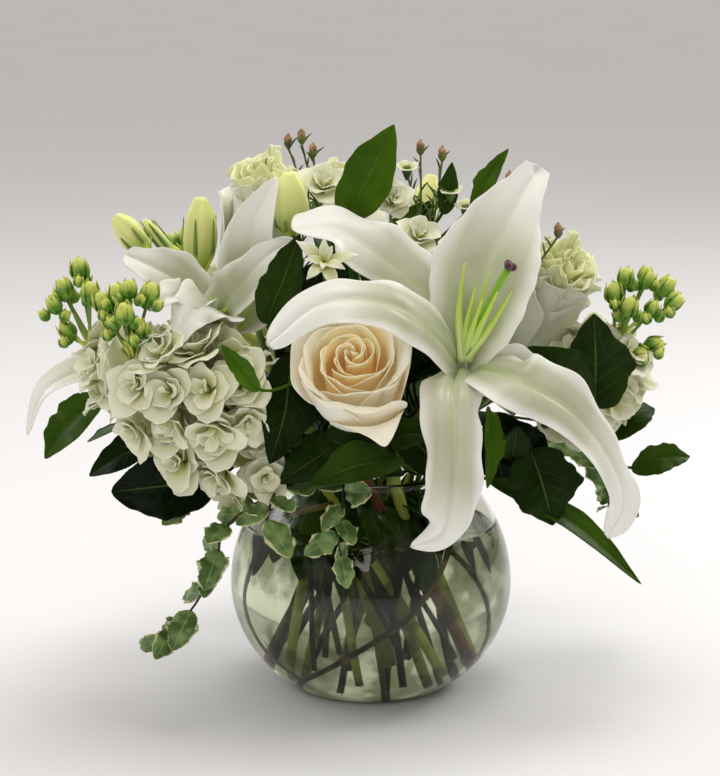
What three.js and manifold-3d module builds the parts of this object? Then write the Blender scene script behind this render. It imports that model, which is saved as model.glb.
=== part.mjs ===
// A white table centerpiece: lilies, roses, stock, lisianthus and waxflower with salal and
// variegated pittosporum, standing in a glass bubble bowl of water.
// Millimetres, +Z up. The origin is the middle of the bowl's foot, and the front looks along -Y.
// Angles round the bowl are in degrees from the front, growing towards +X.
import * as THREE from "three";
import { mergeVertices } from "three/addons/utils/BufferGeometryUtils.js";
import Module from "manifold-3d";

const wasm = await Module();
wasm.setup();

// Driving dimensions of the glass bowl
const BOWL_RADIUS = 75;
const BELLY_Z = 57;
const LOWER_HEIGHT = 67;
const UPPER_HEIGHT = 74;
const BOWL_WALL = 3;
const BOWL_FLOOR = 6;
const RIM_Z = 116;
const LIP_RADIUS = 48;
const LIP_Z = 119;
const WATER_Z = 88;
const BOWL_SIDES = 24;
const OUTER_HEIGHTS = [0, 8, 22, 39, 57, 76, 93, 107];
const INNER_HEIGHTS = [12, 31, 57, 85, 104];
const FLOOR_CORNER = 4;

// Clearance that separate pieces keep, the distance under which corners weld, and the size
// under which the slivers of a cut are merged
const GAP = 0.35;
const WELD = 1e-3;
const SLIVER = 0.02;

// Stems cross in a spiral: each ring runs straight from a foot to the neck, turned by SPIRAL
const SPIRAL = 100;
const NECK_Z = 113;
const RINGS = [
  { slots: 16, neck: 34, foot: 45, footZ: 13 },
  { slots: 10, neck: 22.5, foot: 29, footZ: 11 },
  { slots: 5, neck: 10.5, foot: 13.5, footZ: 10 },
];

const DEG = Math.PI / 180;
const GOLDEN = 137.5;

const UP = new THREE.Vector3(0, 0, 1);
const vec = ([x, y, z]) => new THREE.Vector3(x, y, z);
const round = (angle, radius, z) =>
  new THREE.Vector3(radius * Math.sin(angle * DEG), -radius * Math.cos(angle * DEG), z);
const mix = (a, b, t) => a + (b - a) * t;

// A value read along a list of evenly spaced numbers, rounded between them
function along(list, t) {
  const x = t * (list.length - 1);
  const i = Math.min(Math.floor(x), list.length - 2);
  const f = (1 - Math.cos((x - i) * Math.PI)) / 2;
  return mix(list[i], list[i + 1], f);
}

// A repeatable stream of numbers from 0 to 1
function dice(seed) {
  let state = seed * 7919 + 17;
  return () => {
    state = (state * 16807) % 2147483647;
    return state / 2147483647;
  };
}

// Closed meshes as solids, and solids as named meshes
function solid(geometry) {
  const flat = geometry.index ? geometry.toNonIndexed() : geometry;
  const bare = new THREE.BufferGeometry().setAttribute("position", flat.getAttribute("position"));
  const merged = mergeVertices(bare, WELD);
  return new wasm.Manifold(
    new wasm.Mesh({
      numProp: 3,
      vertProperties: merged.attributes.position.array,
      triVerts: new Uint32Array(merged.index.array),
    }),
  );
}

function fromTriangles(points) {
  const flat = new Float32Array(points.length * 3);
  points.forEach((p, i) => flat.set([p.x, p.y, p.z], i * 3));
  const position = new THREE.BufferAttribute(flat, 3);
  return solid(new THREE.BufferGeometry().setAttribute("position", position));
}

function meshOf(name, made, material) {
  const { vertProperties, triVerts } = made.getMesh();
  const geometry = new THREE.BufferGeometry()
    .setAttribute("position", new THREE.BufferAttribute(new Float32Array(vertProperties), 3))
    .setIndex(new THREE.BufferAttribute(new Uint32Array(triVerts), 1));
  geometry.computeVertexNormals();
  const mesh = new THREE.Mesh(geometry, material);
  mesh.name = name;
  return mesh;
}

// A closed sheet round a grid of points, thinning to nothing at its edge. Its faces are split
// alike on both sides, and grow swells it all round.
function sheet(grid, thick, grow) {
  const rows = grid.map((row) => row.map((p) => p.clone()));
  const last = rows.length - 1;
  const end = rows[0].length - 1;
  const push = (p, from) => {
    const out = p.clone().sub(from);
    return p.add(out.setLength(Math.min(grow, 0.5 * out.length())));
  };
  if (grow > 0) {
    rows[0].forEach((p, j) => push(p, rows[1][j]));
    rows[last].forEach((p, j) => push(p, rows[last - 1][j]));
    rows.forEach((row) => {
      push(row[0], row[1]);
      push(row[end], row[end - 1]);
    });
  }
  const normal = (i, j) => {
    const across = rows[i][Math.min(j + 1, end)].clone().sub(rows[i][Math.max(j - 1, 0)]);
    const down = rows[Math.min(i + 1, last)][j].clone().sub(rows[Math.max(i - 1, 0)][j]);
    return across.cross(down).normalize();
  };
  const side = (sign) =>
    rows.map((row, i) =>
      row.map((p, j) => {
        const rim = i === 0 || j === 0 || i === last || j === end;
        const half = (rim ? 0 : thick / 2) + grow;
        return p.clone().addScaledVector(normal(i, j), sign * half);
      }),
    );
  const top = side(1);
  const under = side(-1);
  const out = [];
  for (let i = 0; i < last; i++)
    for (let j = 0; j < end; j++) {
      const [a, b, c, d] = [[i, j], [i, j + 1], [i + 1, j + 1], [i + 1, j]];
      const pick = (g, k) => g[k[0]][k[1]];
      const slanted = j < end / 2 === (i % 2 === 0);
      const split = slanted ? [[a, b, c], [a, c, d]] : [[a, b, d], [b, c, d]];
      for (const [p, q, r] of split) {
        out.push(pick(top, p), pick(top, q), pick(top, r));
        out.push(pick(under, p), pick(under, r), pick(under, q));
      }
    }
  if (grow > 0) {
    const loop = [];
    for (let j = 0; j < end; j++) loop.push([0, j]);
    for (let i = 0; i < last; i++) loop.push([i, end]);
    for (let j = end; j > 0; j--) loop.push([last, j]);
    for (let i = last; i > 0; i--) loop.push([i, 0]);
    loop.forEach(([i, j], k) => {
      const [m, n] = loop[(k + 1) % loop.length];
      out.push(top[m][n], top[i][j], under[i][j]);
      out.push(top[m][n], under[i][j], under[m][n]);
    });
  }
  return fromTriangles(out);
}

// A blade along a spine: a leaf or a long petal. half gives its half width at even steps,
// face the way its upper side looks, cup its gutter and wave its waved edge.
function blade(spec, grow) {
  const { spine, half, face, cup = 0.25, wave = 0, waves = 2, phase = 0 } = spec;
  const { rows = 5, cols = 2, thick = 1.1 } = spec;
  const curve = new THREE.CatmullRomCurve3(spine.map(vec), false, "centripetal");
  const looks = (Array.isArray(face[0]) ? face : [face, face]).map(vec);
  const grid = [];
  for (let i = 0; i <= rows; i++) {
    const t = i / rows;
    const ahead = curve.getTangent(t);
    const look = looks[0].clone().lerp(looks[looks.length - 1], t);
    const across = ahead.clone().cross(look).normalize();
    const up = across.clone().cross(ahead).normalize();
    const width = along(half, t);
    const row = [];
    for (let j = 0; j <= cols; j++) {
      const u = (2 * j) / cols - 1;
      const ripple = wave * Math.abs(u) * Math.sin(2 * Math.PI * waves * t + phase + (u > 0 ? 0 : 2.1));
      row.push(
        curve
          .getPoint(t)
          .addScaledVector(across, u * width)
          .addScaledVector(up, width * (cup * u * u + ripple)),
      );
    }
    grid.push(row);
  }
  return sheet(grid, thick, grow);
}

// A closed tube through points, with a radius for each
function stalk(points, radii, sides, grow = 0) {
  const path = points.map((p) => (Array.isArray(p) ? vec(p) : p.clone()));
  const last = path.length - 1;
  const ahead = path.map((p, i) =>
    path[Math.min(i + 1, last)].clone().sub(path[Math.max(i - 1, 0)]).normalize(),
  );
  if (grow > 0) {
    path[0].addScaledVector(ahead[0], -grow);
    path[last].addScaledVector(ahead[last], grow);
  }
  const seed = Math.abs(ahead[0].z) > 0.9 ? new THREE.Vector3(1, 0, 0) : UP.clone();
  let across = seed.cross(ahead[0]).normalize();
  const loops = path.map((p, i) => {
    across = across.clone().addScaledVector(ahead[i], -across.dot(ahead[i])).normalize();
    const other = ahead[i].clone().cross(across);
    return Array.from({ length: sides }, (_, k) => {
      const a = (2 * Math.PI * k) / sides;
      const r = (Array.isArray(radii) ? radii[i] : radii) + grow;
      return p.clone().addScaledVector(across, r * Math.cos(a)).addScaledVector(other, r * Math.sin(a));
    });
  });
  const out = [];
  for (let i = 0; i < last; i++)
    for (let k = 0; k < sides; k++) {
      const m = (k + 1) % sides;
      out.push(loops[i][k], loops[i][m], loops[i + 1][m]);
      out.push(loops[i][k], loops[i + 1][m], loops[i + 1][k]);
    }
  for (let k = 1; k < sides - 1; k++) {
    out.push(loops[0][0], loops[0][k + 1], loops[0][k]);
    out.push(loops[last][0], loops[last][k], loops[last][k + 1]);
  }
  return fromTriangles(out);
}

// A bud, cup or ball: a short stalk whose radii swell and shrink along one direction
function bud(at, towards, length, radii, sides, grow) {
  const start = Array.isArray(at) ? vec(at) : at;
  const way = (Array.isArray(towards) ? vec(towards) : towards.clone()).normalize();
  const steps = radii.length - 1;
  const points = radii.map((_, i) => start.clone().addScaledVector(way, (length * i) / steps));
  return stalk(points, radii, sides, grow);
}

// A bud at the end of its own small stalk, as one tube
function budOn(path, thin, towards, length, radii, sides, grow) {
  const start = path[path.length - 1];
  const way = towards.clone().normalize();
  const steps = radii.length;
  const points = radii.map((_, i) => start.clone().addScaledVector(way, (length * (i + 1)) / steps));
  return stalk([...path, ...points], [...path.map(() => thin), ...radii], sides, grow);
}

// Turns a shape made about +Z so that it stands at a place and looks along an axis
function stand(at, axis, roll = 0) {
  const turn = new THREE.Quaternion().setFromUnitVectors(UP, vec(axis).normalize());
  const spin = new THREE.Quaternion().setFromAxisAngle(UP, roll * DEG);
  return new THREE.Matrix4().compose(vec(at), turn.multiply(spin), new THREE.Vector3(1, 1, 1));
}

// A lobed bloom or cup in one piece, about +Z. Its rim, the rings above it and the rings below it
// are [radius, height, notch], where notch is how far each ring draws in between two lobes.
function corolla(spec, grow) {
  const { at, axis, roll = 0, lobes, rim, above = [], below = [], heart, root } = spec;
  const pose = stand(at, axis, roll);
  const points = 2 * lobes;
  const loop = ([radius, height, notch], out, lift) =>
    Array.from({ length: points }, (_, k) => {
      const r = radius * (k % 2 ? notch : 1) + out;
      const a = (Math.PI * k) / lobes;
      const z = height - (k % 2 ? (1 - notch) * 0.6 * radius : 0) + lift;
      return new THREE.Vector3(r * Math.cos(a), r * Math.sin(a), z).applyMatrix4(pose);
    });
  const loops = [
    ...below.map((ring) => loop(ring, grow, -grow)),
    loop(rim, grow, grow),
    ...above.map((ring) => loop(ring, -grow, grow)),
  ];
  const top = new THREE.Vector3(0, 0, heart + grow).applyMatrix4(pose);
  const foot = new THREE.Vector3(0, 0, root - 3 * grow).applyMatrix4(pose);
  const out = [];
  for (let k = 0; k < points; k++) {
    const m = (k + 1) % points;
    for (let n = 0; n + 1 < loops.length; n++) {
      out.push(loops[n][k], loops[n][m], loops[n + 1][m]);
      out.push(loops[n][k], loops[n + 1][m], loops[n + 1][k]);
    }
    const inner = loops[loops.length - 1];
    out.push(inner[k], inner[m], top, loops[0][m], loops[0][k], foot);
  }
  return fromTriangles(out);
}

// A bloom of nested lobed cups round a closed bud
function nested(form, bloom, grow) {
  const { at, axis, roll } = bloom;
  const pose = stand(at, axis, roll);
  const heart = form.bud.map(([r, z]) => [r, new THREE.Vector3(0, 0, z).applyMatrix4(pose)]);
  return [
    stalk(
      heart.map((h) => h[1]),
      heart.map((h) => h[0]),
      6,
      grow,
    ),
    ...form.cups.map((cup, k) => corolla({ ...cup, at, axis, roll: roll + form.turn * k }, grow)),
  ];
}

// The glass outline: half width of the bowl at a height, taken in by inset
function glass(z, inset = 0) {
  const tall = (z < BELLY_Z ? LOWER_HEIGHT : UPPER_HEIGHT) - inset;
  return (BOWL_RADIUS - inset) * Math.sqrt(Math.max(0, 1 - ((z - BELLY_Z) / tall) ** 2));
}

// The inner wall in straight facets from the floor's corner to the rim, as [half width, height]
const INNER_WALL = [
  [glass(BOWL_FLOOR, BOWL_WALL) - FLOOR_CORNER, BOWL_FLOOR],
  ...INNER_HEIGHTS.map((z) => [glass(z, BOWL_WALL), z]),
  [glass(RIM_Z, BOWL_WALL), RIM_Z - 2],
];

// Half width of the faceted inner wall at a height
function inside(z) {
  const k = Math.max(1, INNER_WALL.findIndex(([, height]) => height >= z));
  const [[r0, z0], [r1, z1]] = INNER_WALL.slice(k - 1, k + 1);
  return mix(r0, r1, (z - z0) / (z1 - z0));
}

function turned(outline) {
  const points = outline.map(([r, z]) => new THREE.Vector2(r, z));
  const geometry = new THREE.LatheGeometry(points, BOWL_SIDES);
  return solid(geometry.rotateX(Math.PI / 2));
}

function bowl(grow) {
  const wall = [...INNER_WALL].reverse();
  return [
    turned([
      [0, -grow],
      ...OUTER_HEIGHTS.map((z) => [glass(z) + grow, z - (z ? 0 : grow)]),
      [glass(RIM_Z) + grow, RIM_Z - 1],
      [LIP_RADIUS + grow, LIP_Z + grow],
      [LIP_RADIUS - BOWL_WALL - grow, LIP_Z + grow],
      ...wall.map(([r, z]) => [r - 2 * grow, z + (z === BOWL_FLOOR ? grow : 0)]),
      [0, BOWL_FLOOR + grow],
    ]),
  ];
}

function water() {
  const heights = [...INNER_HEIGHTS.filter((z) => z < WATER_Z), WATER_Z];
  const skin = 2 * GAP;
  return turned([
    [0, BOWL_FLOOR + GAP],
    [INNER_WALL[0][0] - skin, BOWL_FLOOR + GAP],
    ...heights.map((z) => [inside(z) - skin, z]),
    [0, WATER_Z],
  ]);
}

// Where a stem stands: its foot in the water and its place in the neck
function standing(ring, slot) {
  const { slots, neck, foot, footZ } = RINGS[ring];
  const angle = (360 * slot) / slots;
  return [round(angle + SPIRAL, foot, footZ), round(angle, neck, NECK_Z)];
}

// A stem's line: straight from foot to neck, then one curve out to the head, along its axis
function stemLine(ring, slot, head, axis, steps = 3, reach = 0.45) {
  const [foot, neck] = standing(ring, slot);
  const top = vec(head);
  const span = neck.distanceTo(top);
  const rise = neck.clone().sub(foot).normalize();
  const curve = new THREE.CubicBezierCurve3(
    neck,
    neck.clone().addScaledVector(rise, span * 0.35),
    top.clone().addScaledVector(vec(axis).normalize(), -span * reach),
    top,
  );
  return [foot, ...curve.getPoints(steps)];
}

// A point on the upper part of a stem's line, from 0 at the neck to 1 at the head
function onLine(line, t) {
  const upper = line.slice(1);
  const x = t * (upper.length - 1);
  const i = Math.min(Math.floor(x), upper.length - 2);
  return upper[i].clone().lerp(upper[i + 1], x - i);
}

const stem = (line, radius, grow) => stalk(line, radius, radius < 1.3 ? 3 : radius < 1.6 ? 4 : 5, grow);

// Finishes
const finish = (color, roughness, extra = {}) =>
  new THREE.MeshStandardMaterial({ color, roughness, metalness: 0, ...extra });
const CLEAR_GLASS = finish(0xe8eeea, 0.03, { transparent: true, opacity: 0.25 });
const WATER = finish(0xdfe6d8, 0.02, { transparent: true, opacity: 0.2 });
const WHITE_PETAL = finish(0xf4f4ec, 0.5);
const CREAM_PETAL = finish(0xf3e3c2, 0.5);
const GREEN_WHITE_PETAL = finish(0xe9efc9, 0.5);
const STAMEN_GREEN = finish(0xa8cc3a, 0.5);
const STIGMA_PURPLE = finish(0x4a1230, 0.6);
const STEM_GREEN = finish(0x6f8a3c, 0.55);
const LEAF_DARK = finish(0x1f4a18, 0.35);
const LEAF_PALE = finish(0x7d9a68, 0.45);
const TWIG_BROWN = finish(0x5a4420, 0.7);
const WAX_GREEN = finish(0x4d6b30, 0.6);

// Lilies. A tepal's spine starts at the flower's foot and runs through its own points.
const LILY_1 = {
  rows: 6,
  cols: 4,
  sunk: 0.6,
  foot: [36, -72, 176],
  tepals: [
    { spine: [[44, -92, 198], [51, -95, 223], [58, -90, 247], [67, -80, 268], [79, -68, 285]],
      half: [1.3, 11, 22, 26, 24, 18, 8], face: [-0.1, -1, 0.25], wave: 0.05 },
    { spine: [[41, -90, 199], [27, -92, 224], [5, -86, 243], [-18, -84, 256], [-39, -92, 257]],
      half: [1.3, 8, 16, 21, 20, 13, 2], face: [[-0.2, -1, 0.3], [0, -0.6, 0.9]], wave: 0.05 },
    { spine: [[41, -98, 192], [27, -118, 213], [4, -132, 228], [-24, -137, 228], [-50, -131, 207]],
      half: [1.3, 6, 12, 15, 13, 11, 3], face: [[0.1, -0.9, 0.5], [-0.2, -0.75, 0.7]], wave: 0.04 },
    { spine: [[39, -101, 188], [38, -124, 178], [38, -136, 157], [36, -139, 130], [26, -134, 111]],
      half: [1.3, 8, 13, 15, 14, 13, 2], face: [[0, -0.8, 0.6], [0, -1, 0]], wave: 0.05 },
    { spine: [
        [52, -99, 190], [69, -117, 188], [92, -114, 175],
        [114, -102, 149], [124, -94, 122], [117, -92, 103],
      ],
      half: [1.3, 9, 15, 18, 17, 12, 2], face: [[0.3, -0.8, 0.6], [0.7, -0.8, 0.3]], wave: 0.05 },
    { spine: [[49, -92, 186], [66, -99, 187], [84, -92, 181], [97, -80, 166]],
      half: [1.3, 9, 14, 13, 8, 2], face: [[0.2, -0.9, 0.5], [0.5, -0.8, 0.5]], rows: 4, cols: 2 },
  ],
  mouth: [44, -95, 190],
  style: [[45, -98, 194], [50, -112, 214], [64, -118, 241]],
  filaments: [
    [44, -110, 243],
    [49, -114, 232],
    [52, -121, 227],
    [59, -123, 231],
    [66, -117, 230],
  ],
  stem: { ring: 0, slot: 1, radius: 3.2 },
};

const LILY_2 = {
  rows: 5,
  cols: 2,
  sunk: 0.45,
  foot: [-74, -44, 190],
  tepals: [
    { spine: [[-79, -56, 216], [-68, -66, 240], [-58, -68, 260], [-48, -58, 280]],
      half: [1.3, 9, 14, 14, 9, 2], face: [-0.1, -1, 0.2], cup: 0.3 },
    { spine: [[-87, -54, 214], [-97, -60, 228], [-110, -60, 235], [-124, -56, 239]],
      half: [1.3, 8, 11, 11, 9, 3], face: [[0, -0.9, 0.3], [-0.2, -0.9, 0.6]], cup: 0.3 },
    { spine: [[-86, -51, 205], [-112, -46, 202], [-142, -46, 189], [-167, -48, 168], [-176, -50, 146]],
      half: [1.3, 9, 11, 11, 10, 8, 2], face: [[-0.2, -0.8, 0.6], [-0.9, -0.6, 0.2]], cup: 0.3 },
    { spine: [[-86, -64, 211], [-96, -84, 221], [-104, -94, 224], [-112, -100, 220]],
      half: [1.3, 8, 9, 9, 6, 2], face: [[0, -0.6, 0.8], [-0.5, -0.7, 0.6]], cup: 0.3 },
    { spine: [[-75, -60, 213], [-62, -76, 226], [-48, -84, 238], [-36, -82, 252]],
      half: [1.3, 10, 14, 13, 8, 2], face: [[0, -0.9, 0.5], [0.1, -0.9, 0.4]], cup: 0.3 },
    { spine: [[-72, -54, 206], [-56, -62, 214], [-42, -66, 221], [-30, -64, 228]],
      half: [1.3, 9, 13, 12, 7, 2], face: [0.1, -0.9, 0.6], cup: 0.3 },
  ],
  mouth: [-80, -56, 204],
  style: [[-80, -61, 208], [-77, -76, 213], [-77, -93, 223]],
  filaments: [
    [-79, -84, 230],
    [-71, -84, 224],
    [-73, -90, 216],
  ],
  stem: { ring: 1, slot: 8, radius: 3.2 },
};

// Blooms of nested cups, from the outermost layer of petals inwards
const ROSE_FORM = {
  turn: 33,
  bud: [[2, -6], [7, 0], [8, 12], [5, 28], [2.5, 37]],
  cups: [
    { lobes: 5, rim: [33, 29, 0.84], above: [[26.5, 26, 0.96], [19, 12, 1]],
      below: [[16, 3, 1], [27, 19, 0.94]], heart: 3, root: -5 },
    { lobes: 5, rim: [23.5, 38, 0.88], above: [[21.5, 31, 1], [17, 16, 1]],
      below: [[15, 8, 1], [22.8, 28, 1]], heart: 4, root: -3 },
    { lobes: 3, rim: [15, 39, 0.84], above: [[14, 30, 1]], below: [[15.4, 28, 1]], heart: 8, root: 0 },
  ],
};
const LISIANTHUS_FORM = {
  turn: 40,
  bud: [[2, -6], [5, 0], [6, 16], [2, 34]],
  cups: [
    { lobes: 5, rim: [26, 50, 0.78], above: [[17.5, 30, 0.95]], below: [[19, 27, 0.95]],
      heart: 6, root: -5 },
    { lobes: 4, rim: [18.5, 57, 0.74], above: [[12.5, 34, 0.95]], below: [[14, 32, 0.95]],
      heart: 9, root: -2 },
    { lobes: 3, rim: [10.5, 56, 0.7], above: [[7, 40, 1]], below: [[8.4, 38, 1]],
      heart: 20, root: 2 },
  ],
};
const FLOWER_BACK = 5.5;
const ROUND_FLORET = { lobes: 4, rim: [14.5, 3, 0.76], above: [[7.5, 5, 0.6]], heart: 1, root: -11 };
const WAX_CUP = { lobes: 5, rim: [5, 2, 0.6], heart: 0, root: -5 };
const STAR = { lobes: 6, rim: [15, 2, 0.36], above: [[6, 4, 0.6]], heart: 2, root: -5 };
const CALYX = {
  lobes: 5,
  rim: [19, 2, 0.34],
  above: [[7, 1, 0.7]],
  below: [[7, -1, 0.9]],
  heart: 0,
  root: -14,
};

const ROSES = [
  { name: "rose_1", at: [-8, -86, 169], axis: [-0.04, -0.72, 0.69], roll: 20,
    stem: { ring: 0, slot: 0 } },
  { name: "rose_2", at: [44, 78, 186], axis: [0.3, 0.8, 0.5], roll: 75,
    stem: { ring: 0, slot: 7 } },
];
const LISIANTHUS = [
  { name: "lisianthus_1", at: [-63, -24, 228], axis: [0.1, -0.05, 1], roll: 10,
    stem: { ring: 1, slot: 7 },
    buds: [
      { at: [-113, -10, 228], to: [-133, -14, 250], size: 6.5 },
      { at: [-90, -26, 222], to: [-87, -30, 262], size: 7.5 },
      { at: [-98, -4, 226], to: [-116, -4, 246], size: 3.2 },
      { at: [-42, -46, 246], to: [-38, -50, 278], size: 7 },
    ] },
  { name: "lisianthus_2", at: [98, -8, 186], axis: [0.12, 0.05, 1], roll: 60,
    stem: { ring: 1, slot: 3 },
    buds: [{ at: [104, 34, 216], to: [112, 44, 246], size: 7 }] },
  { name: "lisianthus_3", at: [-8, 62, 214], axis: [-0.1, 0.55, 0.85], roll: 130,
    stem: { ring: 1, slot: 5 },
    buds: [{ at: [26, 66, 232], to: [34, 74, 262], size: 7 }] },
];
// Stock. A head's florets sit round its axis from foot to tip, and its buds crown the tip.
const STOCKS = [
  { name: "stock_1", foot: [-52, -66, 132], tip: [-134, -72, 188], buds: [-152, -70, 222],
    florets: 12, spread: 17, stem: { ring: 0, slot: 14 } },
  { name: "stock_2", foot: [-60, -84, 168], tip: [-114, -98, 194], buds: [-121, -100, 222],
    florets: 9, spread: 15, stem: { ring: 1, slot: 9 } },
  { name: "stock_3", foot: [104, -18, 148], tip: [124, -24, 188], buds: [141, -28, 222],
    florets: 8, spread: 14, stem: { ring: 0, slot: 4 } },
  { name: "stock_4", foot: [-56, 60, 158], tip: [-92, 84, 196], buds: [-110, 92, 226],
    florets: 8, spread: 16, stem: { ring: 0, slot: 9 } },
];

// Salal: leafy stems with broad leaves. on is a leaf's place on the stem, arch the rise of its back.
const SALAL = [
  { name: "salal_1", ring: 2, slot: 0, head: [-8, -52, 252], axis: [0, -0.1, 1],
    leaves: [
      { on: 1, tip: [10, -60, 306], half: 12.5, face: [-0.1, -1, 0.1], arch: 2 },
      { on: 0.8, tip: [26, -20, 262], half: 10, face: [0.3, -0.8, 0.5], arch: 5 },
      { on: 0.7, tip: [-30, -10, 262], half: 11, face: [-0.2, 0.2, 1], arch: 5 },
    ] },
  { name: "salal_2", ring: 1, slot: 0, head: [-30, -70, 184], axis: [-0.6, -0.5, 0.6],
    leaves: [
      { on: 1, tip: [-35, -86, 254], from: [-50, -90, 210], half: 11, face: [-0.2, -1, 0.1], arch: 2 },
      { on: 0.95, tip: [-50, -98, 142], from: [-38, -76, 188], half: 17, face: [0.5, -1, 0.1], arch: 3 },
      { on: 0.6, tip: [-31, -116, 134], from: [8, -92, 146], half: 12, face: [0, -0.7, 0.8], arch: 3 },
      { on: 0.5, tip: [-46, -88, 130], from: [-14, -70, 148], half: 13, face: [0.1, -1, 0.4], arch: 3 },
      { on: 0.55, tip: [30, -104, 158], from: [8, -78, 152], half: 10, face: [0.3, -0.9, 0.4], arch: 3 },
    ] },
  { name: "salal_3", ring: 0, slot: 2, head: [78, -60, 150], axis: [0.8, -0.5, 0.3],
    leaves: [
      { on: 0.35, tip: [136, -76, 75], from: [60, -56, 124], half: 9.5, face: [0.3, -0.6, 0.8], arch: 9 },
      { on: 1, tip: [95, -74, 106], from: [86, -68, 142], half: 18, face: [0.2, -1, 0.1], arch: 3 },
      { on: 0.75, tip: [57, -90, 128], from: [58, -80, 166], half: 8, face: [0.8, -0.8, 0], arch: 2 },
      { on: 0.9, tip: [72, -84, 158], from: [70, -72, 140], half: 9, face: [0.1, -0.9, 0.3], arch: 2 },
    ] },
  { name: "salal_4", ring: 0, slot: 3, head: [110, -44, 158], axis: [0.8, -0.4, 0.5],
    leaves: [
      { on: 1, tip: [116, -46, 209], from: [116, -56, 170], half: 17, face: [0.2, -1, 0.2], arch: 3 },
      { on: 0.9, tip: [79, -78, 198], from: [100, -64, 172], half: 14, face: [-0.2, -1, 0.5], arch: 4 },
      { on: 0.75, tip: [165, -32, 131], from: [134, -36, 126], half: 9, face: [0.2, -0.8, 0.6], arch: 6 },
      { on: 0.7, tip: [150, 0, 150], from: [122, -20, 138], half: 10, face: [0.5, -0.3, 0.9], arch: 6 },
    ] },
  { name: "salal_5", ring: 0, slot: 13, head: [-104, -36, 148], axis: [-0.9, -0.3, 0.3],
    leaves: [
      { on: 0.5, tip: [-130, -64, 118], from: [-86, -54, 130], half: 17, face: [-0.2, -0.8, 0.6], arch: 5 },
      { on: 1, tip: [-167, -46, 133], from: [-138, -40, 162], half: 13, face: [-0.6, -0.8, 0.5], arch: 5 },
      { on: 0.8, tip: [-145, -42, 123], from: [-112, -40, 140], half: 11, face: [-0.2, -0.8, 0.7], arch: 4 },
      { on: 0.9, tip: [-140, -6, 168], from: [-116, -22, 156], half: 12, face: [-0.5, 0, 0.9], arch: 5 },
    ] },
  { name: "salal_6", ring: 0, slot: 6, fan: 124 },
  { name: "salal_7", ring: 0, slot: 8, fan: 184 },
  { name: "salal_8", ring: 0, slot: 11, fan: 260, swings: [-22, -6, 8] },
];

// Variegated pittosporum: thin sprigs with small waved leaves in turns along them
const PITTOSPORUM = [
  { name: "pittosporum_1", ring: 0, slot: 15, leaves: 6,
    routes: [
      [[-30, -62, 126], [-62, -92, 113], [-78, -95, 90], [-92, -97, 68]],
      [[-20, -50, 122], [-14, -86, 114], [-18, -91, 98], [-16, -91, 84]],
    ] },
  { name: "pittosporum_2", ring: 0, slot: 5, leaves: 6,
    routes: [[[70, 20, 128], [104, 34, 124], [124, 40, 106], [134, 44, 86]]] },
  { name: "pittosporum_3", ring: 0, slot: 10, leaves: 6,
    routes: [[[-52, 52, 128], [-82, 74, 120], [-96, 84, 100], [-104, 90, 78]]] },
];

// Waxflower: wiry sprays with needle leaves, round buds at the tips and a few small open cups
const WAXFLOWER = [
  { name: "waxflower_1", ring: 2, slot: 3, head: [-30, -2, 268], axis: [-0.2, 0, 1],
    tips: [[-36, -4, 294], [-43, 2, 291], [-30, -8, 287]], cups: [[-14, -14, 274]] },
  { name: "waxflower_2", ring: 2, slot: 2, head: [30, -20, 258], axis: [0, -0.1, 1],
    tips: [[25, -22, 290], [36, -24, 287]], cups: [[18, -30, 280], [40, -28, 268]] },
  { name: "waxflower_3", ring: 1, slot: 2, head: [72, -24, 232], axis: [0.2, -0.2, 1],
    tips: [[94, -42, 250], [62, -14, 276], [71, -12, 273]], cups: [[48, -26, 260]] },
  { name: "waxflower_4", ring: 1, slot: 6, head: [-42, 40, 240], axis: [-0.2, 0.3, 1],
    tips: [[-48, 46, 268], [-58, 50, 260]], cups: [[-34, 44, 256]] },
];

// Small white star flowers between the large blooms
const STARS = [
  { name: "stars_1", ring: 2, slot: 4, head: [-24, -44, 232], axis: [0, -0.4, 1],
    flowers: [
      { at: [-22, -80, 242], axis: [0, -0.9, -0.4] },
      { at: [-25, -34, 268], axis: [0.1, -0.5, 0.8] },
    ] },
  { name: "stars_2", ring: 2, slot: 1, head: [12, -30, 240], axis: [0.1, -0.2, 1],
    flowers: [
      { at: [10, -42, 263], axis: [0.05, -0.8, 0.6] },
      { at: [20, -62, 248], axis: [0.2, -0.6, 0.7] },
    ] },
];

// The twig coiled inside the glass: each run is a list of [angle, height] on the inner wall
const TWIG = {
  radius: 1.6,
  runs: [
    [[-24, 108], [-48, 100], [-56, 88], [-62, 72], [-66, 52], [-60, 32], [-42, 15]],
    [[-42, 15], [-24, 24], [-5, 38], [14, 54], [28, 72], [38, 86], [48, 97], [54, 107]],
    [[38, 86], [47, 74], [56, 56], [62, 38], [66, 24], [92, 14]],
  ],
};

// Piece makers: each returns its solids, swollen by grow
function tepalSpec(flower, tepal) {
  const foot = vec(flower.foot);
  const first = vec(tepal.spine[0]);
  const start = foot.clone().lerp(first, flower.sunk);
  const { rows, cols } = flower;
  return { rows, cols, thick: 1.2, cup: 0.22, ...tepal, spine: [start.toArray(), ...tepal.spine] };
}

function lilyPetals(flower, grow) {
  const mouth = vec(flower.mouth);
  const back = vec(flower.foot).sub(mouth);
  return [
    ...flower.tepals.map((tepal) => blade(tepalSpec(flower, tepal), grow)),
    bud(mouth, back, back.length() * 1.05, [3, 4.6, 5.4, 3.5], 6, grow),
  ];
}

function lilyHeart(flower, grow) {
  const start = vec(flower.style[0]);
  const [, middle, tip] = flower.style.map(vec);
  const style = new THREE.QuadraticBezierCurve3(start, middle, tip).getPoints(4);
  return [
    stalk(style, [2.6, 1.9, 1.5, 1.5, 1.6], 5, grow),
    ...flower.filaments.map((tip) => stalk([start, vec(tip)], [1.2, 0.5], 3, grow)),
  ];
}

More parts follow.
